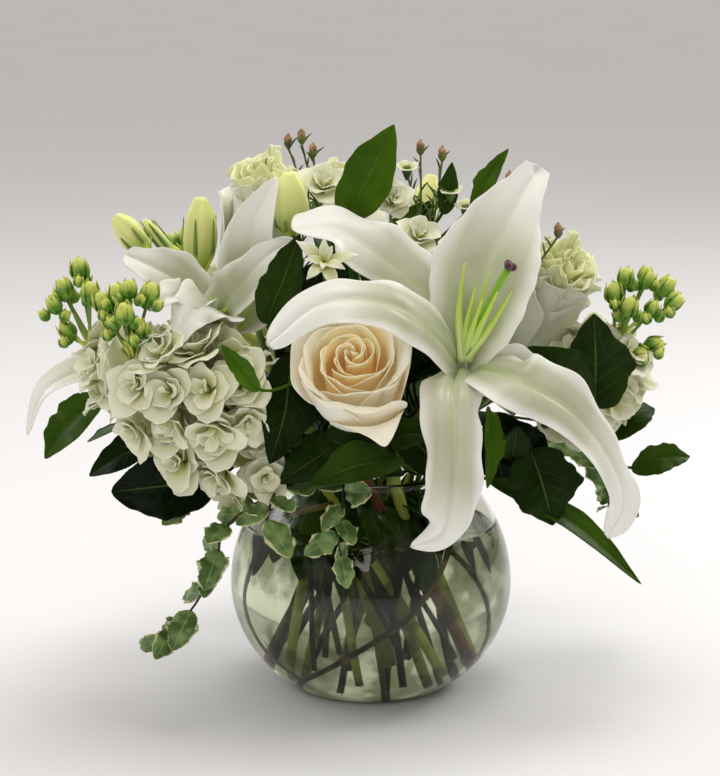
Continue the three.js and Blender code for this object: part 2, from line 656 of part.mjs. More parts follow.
function stigma(flower, grow) {
  const [, middle, tip] = flower.style.map(vec);
  const way = tip.clone().sub(middle).normalize();
  return [bud(tip.addScaledVector(way, GAP), way, 4.2, [2.2, 3.4, 2.6], 6, grow)];
}

function lilyStem(flower, grow) {
  const { ring, slot, radius } = flower.stem;
  const way = vec(flower.mouth).sub(vec(flower.foot));
  const line = stemLine(ring, slot, flower.foot, way.toArray());
  return [stem(line, radius, grow)];
}

// The place behind a flower where its stem takes hold
const behind = (flower) => vec(flower.at).addScaledVector(vec(flower.axis).normalize(), -FLOWER_BACK);

function roseStem(rose, grow) {
  const line = stemLine(rose.stem.ring, rose.stem.slot, rose.at, rose.axis);
  const under = behind(rose);
  return [
    stem([...line.slice(0, -1), under], 2.6, grow),
    corolla({ ...CALYX, ...rose, at: under.toArray() }, grow),
  ];
}

// Buds on branches of their own. The fat ones keep a thin sepal that stands off them.
const SEPAL_FROM = 7;

function lisianthusStem(bloom, grow) {
  const line = stemLine(bloom.stem.ring, bloom.stem.slot, bloom.at, bloom.axis);
  const parts = [stem(line, 1.9, grow)];
  bloom.buds.forEach((b, i) => {
    const branch = onLine(line, 0.55 + 0.1 * i);
    const start = vec(b.at);
    const way = vec(b.to).sub(start);
    const bow = branch.clone().lerp(start, 0.6).addScaledVector(UP, -5);
    const fat = b.size;
    parts.push(budOn([branch, bow, start], 1.4, way, way.length(), [fat, fat * 0.9, 0.8], 5, grow));
    if (fat < SEPAL_FROM) return;
    const out = round(i * 100 + 30, 1, 0);
    const onSepal = (t, away) => start.clone().addScaledVector(way, t).addScaledVector(out, away);
    const spine = [start, onSepal(0.35, fat + 2), onSepal(0.85, fat + 3.5)].map((p) => p.toArray());
    parts.push(blade({ spine, half: [0.6, 1.8, 0.4], face: out.toArray(), rows: 2 }, grow));
  });
  return parts;
}

// How plump a head of stock is, from its foot to its tip
const plump = (t) => along([0.65, 1, 1, 0.9, 0.5], t);

// Florets stand out of a slim core, by the golden angle, and open outwards from the head's axis
function stockFlorets(head, grow) {
  const foot = vec(head.foot);
  const tip = vec(head.tip);
  const axis = tip.clone().sub(foot);
  const pose = stand(head.foot, axis.toArray());
  const parts = [];
  for (let k = 0; k < head.florets; k++) {
    const t = (k + 0.5) / head.florets;
    const seat = round(k * GOLDEN, head.spread * plump(t), axis.length() * t);
    const look = round(k * GOLDEN, 1, 0.1 + 1.6 * t * t).transformDirection(pose);
    const at = seat.applyMatrix4(pose).toArray();
    parts.push(corolla({ ...ROUND_FLORET, at, axis: look.toArray(), roll: 40 * k }, grow));
  }
  const core = [0, 0.35, 0.7, 1].map((t) => 0.68 * head.spread * plump(t));
  parts.push(bud(foot, axis, axis.length(), core, 4, grow));
  return parts;
}

// Stock's stem, which runs on past the florets to a crown of tight green buds
function stockStem(head, grow) {
  const foot = vec(head.foot);
  const tip = vec(head.tip);
  const crown = vec(head.buds);
  const axis = tip.clone().sub(foot);
  const line = stemLine(head.stem.ring, head.stem.slot, head.foot, axis.toArray());
  const parts = [stem([...line, tip.clone().lerp(crown, 0.2), crown], 2.4, grow)];
  const way = crown.clone().sub(tip).normalize();
  const pose = stand(tip.clone().lerp(crown, 0.45).toArray(), way.toArray());
  for (let k = 0; k < 7; k++) {
    const t = k / 6;
    const seat = round(k * GOLDEN, mix(14, 4, t), t * crown.distanceTo(tip) * 0.62);
    const root = new THREE.Vector3(0, 0, seat.z - 6);
    const way = seat.clone().sub(root).normalize();
    const start = seat.applyMatrix4(pose);
    const foot = root.applyMatrix4(pose);
    parts.push(budOn([foot, start], 1, way.transformDirection(pose), 10, [4.1, 1.2], 4, grow));
  }
  return parts;
}

function salalLeaf(line, leaf, grow) {
  const root = onLine(line, leaf.on);
  const tip = vec(leaf.tip);
  const from = leaf.from ? vec(leaf.from) : root.clone().lerp(tip, 0.12);
  const face = vec(leaf.face).normalize();
  const middle = from.clone().lerp(tip, 0.5).addScaledVector(face, leaf.arch);
  const w = leaf.half;
  return blade(
    {
      spine: [root, from, middle, tip].map((p) => p.toArray()),
      half: leaf.from
        ? [0.5, 1.2, w * 0.85, w, w * 0.75, 0.4]
        : [0.5, w * 0.8, w, w * 0.85, w * 0.45, 0.4],
      face: leaf.face,
      rows: leaf.rows ?? 5,
      cup: 0.16,
    },
    grow,
  );
}

// Leaves of the hidden sides: a fan round one direction, high and low in turns
function fanLeaves(plant) {
  const roll = dice(plant.fan);
  return (plant.swings ?? [-26, -9, 8, 22]).map((swing, k) => {
    const angle = plant.fan + swing;
    const high = k % 2 === 0;
    const reach = mix(146, 164, roll());
    const tip = round(angle, reach, high ? mix(168, 186, roll()) : mix(112, 124, roll()));
    return {
      on: high ? 1 - 0.06 * k : 0.62,
      from: round(angle, 104, high ? 152 : 134).toArray(),
      tip: tip.toArray(),
      half: mix(13, 17, roll()),
      face: round(angle, 0.7, 0.8).toArray(),
      arch: 7,
      rows: 4,
    };
  });
}

function salal(plant, grow) {
  const head = plant.head ?? round(plant.fan, 100, 154).toArray();
  const axis = plant.axis ?? round(plant.fan, 0.9, 0.4).toArray();
  const line = stemLine(plant.ring, plant.slot, head, axis);
  const leaves = plant.leaves ?? fanLeaves(plant);
  return [stem(line, 1.5, grow), ...leaves.map((leaf) => salalLeaf(line, leaf, grow))];
}

// Every sprig of a plant starts in the neck, and the first one also runs down to the plant's foot
function pittosporum(plant, grow) {
  const [foot, neck] = standing(plant.ring, plant.slot);
  return plant.routes.flatMap((route, n) => {
    const curve = new THREE.CatmullRomCurve3([neck, ...route.map(vec)], false, "centripetal");
    const line = [foot, ...curve.getPoints(5)];
    return [
      stalk(n ? line.slice(1) : line, 1.1, 3, grow),
      ...sprigLeaves(curve, line, plant.leaves, plant.slot + n, grow),
    ];
  });
}

function sprigLeaves(curve, line, leaves, seed, grow) {
  const roll = dice(seed);
  return Array.from({ length: leaves }, (_, k) => {
    const t = mix(0.42, 1, k / (leaves - 1));
    const root = onLine(line, t);
    const ahead = curve.getTangent(t);
    const side = UP.clone().cross(ahead).normalize();
    const swing = (k % 2 ? 1 : -1) * mix(0.6, 1.1, roll());
    const rise = mix(-0.2, 0.5, roll());
    const way = ahead.clone().addScaledVector(side, swing).addScaledVector(UP, rise).normalize();
    const long = mix(16, 23, roll());
    const tip = root.clone().addScaledVector(way, long);
    const middle = root.clone().lerp(tip, 0.5).addScaledVector(UP, 2);
    return blade(
      {
        spine: [root, middle, tip].map((p) => p.toArray()),
        half: [0.4, 0.3 * long, 0.3 * long, 0.5],
        face: [0.1, -0.4, 1],
        rows: 3,
        wave: 0.12,
        waves: 1.5,
        phase: k,
      },
      grow,
    );
  });
}

function waxflower(plant, grow) {
  const line = stemLine(plant.ring, plant.slot, plant.head, plant.axis);
  const parts = [stem(line, 1.2, grow)];
  [...plant.tips, ...plant.cups].forEach((goal, k) => {
    const end = vec(goal);
    const root = onLine(line, 0.7 + 0.1 * (k % 4));
    const bow = root.clone().lerp(end, 0.55).addScaledVector(UP, -2);
    if (k < plant.tips.length) {
      const under = end.clone().addScaledVector(UP, -3);
      parts.push(budOn([root, bow, under], 0.8, UP, 8, [3, 1.2], 4, grow));
    } else {
      parts.push(stalk([root, bow, end], 0.8, 3, grow));
      parts.push(corolla({ ...WAX_CUP, at: goal, axis: [0, -0.35, 1], roll: 60 * k }, grow));
    }
  });
  for (let k = 0; k < 2; k++) {
    const root = onLine(line, 0.6 + 0.2 * k);
    parts.push(stalk([root, round(GOLDEN * k, 8, 8).add(root)], [0.9, 0.45], 3, grow));
  }
  return parts;
}

function starStem(plant, grow) {
  const line = stemLine(plant.ring, plant.slot, plant.head, plant.axis);
  const parts = [stem(line, 1.4, grow)];
  for (const flower of plant.flowers) {
    const end = behind(flower);
    const root = onLine(line, 0.85);
    const bow = root.clone().lerp(end, 0.6).addScaledVector(UP, 4);
    parts.push(stalk([root, bow, end], 0.9, 4, grow));
  }
  return parts;
}

const star = (flower, grow) => [corolla({ ...STAR, ...flower }, grow)];

// The coiled twig leans on the facets of the inner wall
function coiledTwig(grow) {
  const facet = Math.cos(Math.PI / BOWL_SIDES);
  return TWIG.runs.map((run) => {
    const wall = run.map(([angle, z]) => round(angle, inside(z) * facet - TWIG.radius - GAP, z));
    const curve = new THREE.CatmullRomCurve3(wall, false, "centripetal");
    return stalk(curve.getPoints(run.length), TWIG.radius, 4, grow);
  });
}

// Assembly. Later pieces are trimmed clear of the ones before them.
const centerpiece = new THREE.Group();
const placed = [];

const boxesMeet = (a, b) =>
  [0, 1, 2].every((k) => a.min[k] <= b.max[k] && b.min[k] <= a.max[k]);

function trimmed(made) {
  let left = made;
  for (const other of placed)
    if (boxesMeet(left.boundingBox(), other.boundingBox())) left = left.subtract(other);
  return left;
}

// Scraps that a cut leaves loose are dropped, also those that hang on by a single corner
const largest = (made) => made.decompose().sort((a, b) => b.volume() - a.volume())[0];

function place(name, material, make) {
  const left = largest(trimmed(wasm.Manifold.union(make(0))).simplify(SLIVER));
  const welded = largest(solid(meshOf(name, left, material).geometry));
  centerpiece.add(meshOf(name, welded, material));
  placed.push(wasm.Manifold.union(make(GAP)));
}

place("bowl", CLEAR_GLASS, bowl);
for (const [name, lily] of [["lily_1", LILY_1], ["lily_2", LILY_2]]) {
  place(`${name}_petals`, WHITE_PETAL, (grow) => lilyPetals(lily, grow));
  place(`${name}_stem`, STEM_GREEN, (grow) => lilyStem(lily, grow));
  place(`${name}_stamens`, STAMEN_GREEN, (grow) => lilyHeart(lily, grow));
  place(`${name}_stigma`, STIGMA_PURPLE, (grow) => stigma(lily, grow));
}
for (const rose of ROSES) {
  place(`${rose.name}_petals`, CREAM_PETAL, (grow) => nested(ROSE_FORM, rose, grow));
  place(`${rose.name}_stem`, STEM_GREEN, (grow) => roseStem(rose, grow));
}
for (const bloom of LISIANTHUS) {
  place(`${bloom.name}_petals`, GREEN_WHITE_PETAL, (grow) => nested(LISIANTHUS_FORM, bloom, grow));
  place(`${bloom.name}_stem`, STEM_GREEN, (grow) => lisianthusStem(bloom, grow));
}
for (const head of STOCKS) {
  place(`${head.name}_stem`, STEM_GREEN, (grow) => stockStem(head, grow));
  place(`${head.name}_florets`, WHITE_PETAL, (grow) => stockFlorets(head, grow));
}
for (const plant of STARS) {
  place(`${plant.name}_stem`, STEM_GREEN, (grow) => starStem(plant, grow));
  plant.flowers.forEach((flower, k) =>
    place(`${plant.name}_flower_${k + 1}`, WHITE_PETAL, (grow) => star(flower, grow)),
  );
}
for (const plant of WAXFLOWER) place(plant.name, WAX_GREEN, (grow) => waxflower(plant, grow));
for (const plant of SALAL) place(plant.name, LEAF_DARK, (grow) => salal(plant, grow));
for (const plant of PITTOSPORUM) place(plant.name, LEAF_PALE, (grow) => pittosporum(plant, grow));
place("coiled_twig", TWIG_BROWN, coiledTwig);
centerpiece.add(meshOf("water", trimmed(water()).simplify(SLIVER), WATER));

export default centerpiece;
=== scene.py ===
# A white table centerpiece in a glass bubble bowl: the fine surfaces and finishes of every piece.
# Lengths are millimetres until a mesh is made, +Z is up, and the front looks along -Y.
# Angles round the bowl, and round a bloom's own axis, are in degrees from the front or from below.
import math

import bpy
import numpy as np
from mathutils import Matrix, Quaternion, Vector


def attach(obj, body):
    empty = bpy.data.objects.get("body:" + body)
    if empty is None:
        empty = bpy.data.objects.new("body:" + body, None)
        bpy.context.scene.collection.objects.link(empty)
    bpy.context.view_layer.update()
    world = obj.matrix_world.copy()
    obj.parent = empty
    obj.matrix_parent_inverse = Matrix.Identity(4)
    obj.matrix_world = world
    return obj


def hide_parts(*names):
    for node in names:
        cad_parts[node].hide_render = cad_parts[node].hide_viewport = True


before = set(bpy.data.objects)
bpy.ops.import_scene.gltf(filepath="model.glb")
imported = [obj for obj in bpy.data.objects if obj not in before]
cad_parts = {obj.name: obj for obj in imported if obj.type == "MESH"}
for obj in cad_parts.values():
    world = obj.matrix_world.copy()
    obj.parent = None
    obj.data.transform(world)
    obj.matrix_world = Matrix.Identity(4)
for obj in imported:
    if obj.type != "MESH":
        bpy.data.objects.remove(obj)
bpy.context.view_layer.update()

MM = 0.001
UP = np.array([0.0, 0.0, 1.0])
GOLDEN = 137.5


# Camera and stage, as the photograph was taken
TARGET = np.array([-5.8, 0.0, 161.0])
DISTANCE = 1250.0
ELEVATION = math.radians(11)
PHOTO_HEIGHT_PX = 776
FOCAL_PX = 2367
SENSOR_MM = 36.0
FAR_CLIP_M = 50


def stand(name, data):
    """An object of the scene, made from its data."""
    made = bpy.data.objects.new(name, data)
    bpy.context.scene.collection.objects.link(made)
    return made


def camera():
    data = bpy.data.cameras.new("camera")
    data.sensor_width = SENSOR_MM
    data.lens = FOCAL_PX / PHOTO_HEIGHT_PX * SENSOR_MM
    data.clip_end = FAR_CLIP_M
    made = stand("camera", data)
    back = np.array([0, -math.cos(ELEVATION), math.sin(ELEVATION)])
    made.location = Vector((TARGET + DISTANCE * back) * MM)
    made.rotation_euler = (math.pi / 2 - ELEVATION, 0, 0)
    bpy.context.scene.camera = made


camera()


# Numbers, lines and frames
def unit(v):
    v = np.asarray(v, float)
    return v / (np.linalg.norm(v, axis=-1, keepdims=True) + 1e-12)


def mix(a, b, t):
    return a + (b - a) * t


def round_point(angle, radius, z):
    """A point at an angle round the axis, counted from the front."""
    a = math.radians(angle)
    return np.array([radius * math.sin(a), -radius * math.cos(a), z])


def smooth(values, t):
    """A rounded curve through evenly spaced values, read at t from 0 to 1."""
    values = np.asarray(values, float)
    padded = np.concatenate([[2 * values[0] - values[1]], values, [2 * values[-1] - values[-2]]])
    x = np.clip(t, 0, 1) * (len(values) - 1)
    i = np.minimum(np.floor(x).astype(int), len(values) - 2)
    f = x - i
    a, b, c, d = (padded[i + k] for k in range(4))
    bend = (2 * a - 5 * b + 4 * c - d) * f**2 + (3 * b - a - 3 * c + d) * f**3
    return b + 0.5 * ((c - a) * f + bend)


def step(low, high, x):
    """0 below low, 1 above high, and rounded between."""
    t = np.clip((x - low) / (high - low), 0, 1)
    return t * t * (3 - 2 * t)


DICE_FACTOR = 16807
DICE_PRIME = 2147483647


def dice(seed):
    """A repeatable stream of numbers from 0 to 1."""
    state = seed * 7919 + 17
    while True:
        state = (state * DICE_FACTOR) % DICE_PRIME
        yield state / DICE_PRIME


class Line:
    """A centripetal curve through points."""

    def __init__(self, points):
        p = np.asarray(points, float)
        self.points = p
        self.padded = np.concatenate([[2 * p[0] - p[1]], p, [2 * p[-1] - p[-2]]])

    def at(self, t):
        t = np.atleast_1d(np.asarray(t, float))
        x = t * (len(self.points) - 1)
        i = np.clip(np.floor(x).astype(int), 0, len(self.points) - 2)
        w = (x - i)[:, None]
        p = [self.padded[i + k] for k in range(4)]
        gap = [np.linalg.norm(p[k + 1] - p[k], axis=1, keepdims=True) ** 0.5 + 1e-6 for k in range(3)]
        first = (p[1] - p[0]) / gap[0] - (p[2] - p[0]) / (gap[0] + gap[1]) + (p[2] - p[1]) / gap[1]
        second = (p[2] - p[1]) / gap[1] - (p[3] - p[1]) / (gap[1] + gap[2]) + (p[3] - p[2]) / gap[2]
        m, n = first * gap[1], second * gap[1]
        turn = (3 * (p[2] - p[1]) - 2 * m - n) * w**2 + (2 * (p[1] - p[2]) + m + n) * w**3
        return p[1] + m * w + turn


def curve(points, steps):
    """Even steps along the rounded line through some points."""
    return Line(points).at(np.linspace(0, 1, steps))


def pose(at, axis, roll=0.0):
    """Turns points made about +Z so that they stand at a place and look along an axis."""
    turn = Vector((0, 0, 1)).rotation_difference(Vector(axis).normalized())
    spin = Quaternion((0, 0, 1), math.radians(roll))
    matrix = np.array((turn @ spin).to_matrix())
    return lambda points: np.asarray(points) @ matrix.T + np.asarray(at, float)


# Least sizes that keep thin ends solid
LEAST_RADIUS = 0.05
LEAST_HALF = 0.25
# A midrib's share of a blade's width, and the half width past which its furrow grows no deeper
RIB_SHARE = 0.13
FURROW_WIDTH = 8
# How far out of step the waves of a blade's two edges are, in radians
EDGE_LAG = 2.1
# A petal wraps its bloom as if the radius were at least this share of its half width
WRAP_SHARE = 0.75
# A petal's thickness, the steps along its back, and the degrees by which it may lean and turn astray
PETAL_THICK = 0.5
PETAL_STEPS = 24
WILD_LEAN = 45
WILD_TURN = 80


# Shapes gather closed sheets and tubes. Each point carries marks for the materials: across the
# blade from -1 to 1, along it from 0 to 1, a tone that tells kinds of blade apart, and 1 underneath.
class Shape:
    def __init__(self):
        self.points = []
        self.quads = []
        self.triangles = []
        self.marks = []
        self.count = 0

    def add(self, points, quads, triangles, marks):
        self.quads.append(np.asarray(quads, int).reshape(-1, 4) + self.count)
        self.triangles.append(np.asarray(triangles, int).reshape(-1, 3) + self.count)
        self.points.append(points)
        self.marks.append(marks)
        self.count += len(points)


def sheet(shape, grid, thick, across, along, tone):
    """A closed sheet round a grid of points, thinning to nothing at its rim."""
    rows, cols = grid.shape[0] - 1, grid.shape[1] - 1
    normal = unit(np.cross(np.gradient(grid, axis=1), np.gradient(grid, axis=0)))
    inner = np.zeros((rows + 1, cols + 1), bool)
    inner[1:-1, 1:-1] = True
    top = grid + normal * np.where(inner, thick / 2, 0)[..., None]
    under = grid - normal * (thick / 2)
    flat = top.reshape(-1, 3)
    total = len(flat)
    over_index = np.arange(total).reshape(rows + 1, cols + 1)
    under_index = over_index.copy()
    under_index[inner] = total + np.arange(inner.sum())

    def cells(index):
        corners = [index[:-1, :-1], index[:-1, 1:], index[1:, 1:], index[1:, :-1]]
        return np.stack(corners, -1).reshape(-1, 4)

    quads = np.concatenate([cells(over_index), cells(under_index)[:, ::-1]])
    v = np.broadcast_to(along[:, None], inner.shape)
    u = np.broadcast_to(across[None, :], inner.shape)
    marks = np.stack([u, v, np.full(inner.shape, tone), np.where(inner, 0, 0.5)], -1).reshape(-1, 4)
    below = np.stack([u[inner], v[inner], np.full(inner.sum(), tone), np.ones(inner.sum())], -1)
    shape.add(np.concatenate([flat, under[inner]]), quads, [], np.concatenate([marks, below]))


def hoops(count, sides):
    """The faces of a tube: quads between its hoops, and a fan round an end point at each end."""
    index = np.arange(count * sides).reshape(count, sides)
    after = np.roll(index, -1, axis=1)
    quads = np.stack([index[:-1], after[:-1], after[1:], index[1:]], -1).reshape(-1, 4)
    first, last = count * sides, count * sides + 1
    triangles = [(first, after[0, k], index[0, k]) for k in range(sides)]
    triangles += [(last, index[-1, k], after[-1, k]) for k in range(sides)]
    return quads, triangles


def tube(shape, path, radii, sides=10, tone=0.0, flutes=(0, 0.0, 0.0)):
    """A closed tube along a path. flutes is a count of ridges, their share of the radius, and how far
    they twist round it, in radians."""
    path = np.asarray(path, float)
    n = len(path)
    radii = np.broadcast_to(np.asarray(radii, float), n)
    # A frame that twists as little as it can along the path
    ahead = unit(np.gradient(path, axis=0))
    across = unit(np.cross([1, 0, 0] if abs(ahead[0][2]) > 0.9 else UP, ahead[0]))
    frames = []
    for a in ahead:
        across = unit(across - a * across.dot(a))
        frames.append(across)
    frames = np.array(frames)
    other = np.cross(ahead, frames)

    # Fluted hoops round the path
    angle = 2 * math.pi * np.arange(sides) / sides
    count, depth, twist = flutes
    t = np.linspace(0, 1, n)
    swell = 1 + depth * np.cos(count * angle[None, :] + twist * t[:, None])
    r = radii[:, None] * swell
    ring = (
        path[:, None]
        + (r * np.cos(angle))[..., None] * frames[:, None]
        + (r * np.sin(angle))[..., None] * other[:, None]
    )
    points = np.concatenate([ring.reshape(-1, 3), [path[0], path[-1]]])
    v = np.concatenate([np.repeat(t, sides), [0, 1]])
    u = np.concatenate([np.tile(angle / math.pi - 1, n), [0, 0]])
    marks = np.stack([u, v, np.full(len(v), tone), np.zeros(len(v))], -1)
    shape.add(points, *hoops(n, sides), marks)


def bud(shape, at, way, length, radii, sides=12, tone=0.0, flutes=(0, 0.0, 0.0), steps=14):
    """A bud, cup or ball: a straight tube whose radii swell and shrink."""
    t = np.linspace(0, 1, steps)
    path = np.asarray(at, float) + np.outer(t * length, unit(way))
    tube(shape, path, np.maximum(smooth(radii, t), LEAST_RADIUS), sides, tone, flutes)


def ball(shape, centre, radius, tone=0.0, sides=10):
    """A small ball: a tube that grows from nothing and shrinks again."""
    t = np.linspace(0, 1, 9)
    height = -np.cos(t * math.pi)
    path = np.asarray(centre, float) + np.outer(radius * height, UP)
    tube(shape, path, np.maximum(radius * np.sin(t * math.pi), 0.04 * radius), sides, tone)


def columns(count):
    """Places across a blade, closer together towards its two edges."""
    return np.sin(np.linspace(-1, 1, count + 1) * math.pi / 2)


def blade(shape, spine, half, face, rows=24, cols=10, cup=0.25, hump=0.0, wave=0.0, waves=2.0,
          phase=0.0, thick=0.8, tone=0.0, tip=0.05, valley=0.0, fade=0.6, teeth=0.0, tooth=2.5,
          dip=0.0, part=(0.0, 1.0)):
    """A long petal or a leaf along a spine. half gives its half width at even steps, and face the
    way its upper side looks. cup lifts its edges, hump its two flanks, valley sinks its midrib,
    less by fade towards the tip, and wave makes its edges swing. teeth cuts its edges every tooth
    millimetres, tip is the share that rounds its end, dip notches it, and part is the share of the
    spine that it covers."""
    # A frame that rides along the spine: ahead, across and up
    s = np.linspace(0, 1, rows + 1)
    t = mix(part[0], part[1], s)
    line = Line(spine).at(t)
    ahead = unit(np.gradient(line, axis=0))
    faces = np.atleast_2d(np.asarray(face, float))
    look = np.stack([smooth(side, s) for side in faces.T], -1) if len(faces) > 1 else faces
    across = unit(np.cross(ahead, look))
    up = np.cross(across, ahead)

    # Half widths, with a rounded end and a toothed edge
    u = columns(cols)
    width = half(s) if callable(half) else smooth(half, t)
    closing = np.sqrt(np.clip(1 - (np.clip(s - 1 + tip, 0, 1) / tip) ** 2, 0.004, 1))
    width = np.maximum(width, LEAST_HALF) * closing
    length = np.linalg.norm(np.diff(line, axis=0), axis=1).sum()
    notch = 1 - teeth * np.abs((s * length / tooth) % 1 - 0.5)

    # Lift: two waves that grow towards the edges, the bent flanks and the sunken midrib
    ends = np.abs(u)[None, :]
    side = np.where(u > 0, 0.0, EDGE_LAG)[None, :]
    swing = 2 * math.pi * waves * s[:, None] + phase + side
    ripple = wave * ends**2 * (np.sin(swing) + 0.5 * np.sin(2.7 * swing + 1) * ends**2)
    ripple = ripple * step(0.0, 0.35, s)[:, None]
    flank = cup * ends**2 + hump * np.sin(math.pi * ends**0.8)
    furrow = valley * np.exp(-((u / RIB_SHARE) ** 2))[None, :] * (1 - fade * step(0.0, 0.5, s))[:, None]
    lift = width[:, None] * (flank + ripple) - furrow * np.minimum(width, FURROW_WIDTH)[:, None]

    # Points, drawn a little outwards where the edge waves and back where the tip is notched
    reach = width[:, None] * u[None, :] * mix(1, notch[:, None], ends**4)
    reach = reach * (1 + 0.7 * ripple * ends)
    back = -dip * step(0.9, 1.0, s)[:, None] * (1 - ends**1.5)
    grid = line[:, None] + across[:, None] * reach[..., None] + up[:, None] * lift[..., None]
    grid = grid + ahead[:, None] * back[..., None]
    sheet(shape, grid, thick, u, s, tone)


def petal(shape, place, form, turn, phase=0.0, tone=0.0, rows=12, cols=12):
    """A petal that leans out of a bloom's heart. foot and rise place its foot, lean is the tilt of its
    back from foot to rim and half its half width, dome rounds its rim, tuck lays one side under its
    neighbour, fold bends the rim's two corners out and back, and ruffle waves it."""
    # The petal's back, walked from foot to rim
    steps = PETAL_STEPS
    halfway = (np.arange(steps) + 0.5) / steps
    lean = np.radians(smooth(form["lean"], halfway))
    r_path = form["foot"] + np.concatenate([[0], np.cumsum(np.sin(lean))]) * form["length"] / steps
    z_path = form["rise"] + np.concatenate([[0], np.cumsum(np.cos(lean))]) * form["length"] / steps

    # Its rim: rounded, ruffled by two waves, moved sideways by a third, and folded at the corners
    u = columns(cols)[None, :]
    s = np.sin(np.linspace(0, math.pi / 2, rows + 1))[:, None]
    v = s * (1 - form["dome"] * np.abs(u) ** 2.5)
    flat = np.linspace(0, 1, steps + 1)
    edge = form["ruffle"] * v**4
    swing = form["ripples"] * math.pi * u + phase
    corner = form["fold"] * np.abs(u) ** 1.5 * step(0.55, 1.0, s)
    ripple = edge * (np.sin(swing) + 0.45 * np.sin(2.3 * swing + 1))
    frill = 0.3 * edge * np.cos(1.7 * swing)

    # Radius and height from the bloom's heart, then the petal's width as an angle round it
    tilt = np.interp(v, halfway, lean)
    r = np.interp(v, flat, r_path) + form["tuck"] * u + corner
    z = np.interp(v, flat, z_path) - 0.7 * corner
    r = r + ripple * np.cos(tilt) + frill * np.sin(tilt)
    z = z - ripple * np.sin(tilt) + frill * np.cos(tilt)
    wide = smooth(form["half"], v)
    a = math.radians(turn) + u * wide / np.maximum(np.abs(r), WRAP_SHARE * wide)
    grid = np.stack([r * np.sin(a), -r * np.cos(a), z], -1)
    sheet(shape, place(grid), PETAL_THICK, u[0], s[:, 0], tone)


def rosette(shape, place, forms, count, ease=1.0, seed=1, rows=12, cols=12, wild=0.0, size=1.0):
    """Petals by the golden angle, from the heart outwards through the key petals in forms. wild is
    the share by which they stray. Their tone runs from 0 inside to 1 outside."""
    roll = dice(seed)
    for k in range(count):
        t = (k / (count - 1)) ** ease
        form = {key: smooth([one[key] for one in forms], t) for key in forms[0]}
        for key in ("foot", "rise", "length", "half", "tuck"):
            form[key] = form[key] * size
        form["length"] *= 1 + wild * (next(roll) - 0.5)
        form["lean"] = form["lean"] + WILD_LEAN * wild * (next(roll) - 0.5)
        swing = k * GOLDEN + WILD_TURN * wild * (next(roll) - 0.5)
        petal(shape, place, form, swing, 6.3 * next(roll), t, rows, cols)


def piece(name, shape, material, slot, *nodes):
    """One named mesh of a shape, riding on the bouquet and standing for its plain solids."""
    quads = np.concatenate(shape.quads)
    triangles = np.concatenate(shape.triangles)
    points = np.concatenate(shape.points) * MM
    starts = np.concatenate([np.arange(len(quads)) * 4, quads.size + np.arange(len(triangles)) * 3])
    mesh = bpy.data.meshes.new(name)
    mesh.vertices.add(len(points))
    mesh.vertices.foreach_set("co", points.ravel())
    mesh.loops.add(quads.size + triangles.size)
    mesh.loops.foreach_set("vertex_index", np.concatenate([quads.ravel(), triangles.ravel()]))
    mesh.polygons.add(len(starts))
    mesh.polygons.foreach_set("loop_start", starts)
    mesh.polygons.foreach_set("use_smooth", np.ones(len(starts), bool))
    mesh.update(calc_edges=True)
    all_marks = np.concatenate(shape.marks)
    marks = mesh.attributes.new("marks", "FLOAT_VECTOR", "POINT")
    marks.data.foreach_set("vector", all_marks[:, :3].ravel())
    under = mesh.attributes.new("under", "FLOAT", "POINT")
    under.data.foreach_set("value", all_marks[:, 3].copy())
    mesh.materials.append(material)
    made = stand(name, mesh)
    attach(made, "root")
    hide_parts(*nodes)


# Materials
def hexa(text):
    """An sRGB hex colour as linear red, green, blue and alpha."""
    parts = [int(text[i : i + 2], 16) / 255 for i in (0, 2, 4)]
    return [c / 12.92 if c <= 0.04045 else ((c + 0.055) / 1.055) ** 2.4 for c in parts] + [1.0]


def every(size_mm):
    """The texture scale at which a pattern repeats about every size_mm."""
    return 1000 / size_mm


def feed(tree, made, inputs):
    """Links sockets into a node's inputs, and sets numbers and hex colours directly on them."""
    for key, value in inputs.items():
        if isinstance(value, bpy.types.NodeSocket):
            tree.links.new(value, made.inputs[key])
        else:
            made.inputs[key].default_value = hexa(value) if isinstance(value, str) else value


def node(tree, kind, inputs, **settings):
    """Adds one node to a tree."""
    made = tree.nodes.new(kind)
    for key, value in settings.items():
        setattr(made, key, value)
    feed(tree, made, inputs)
    return made


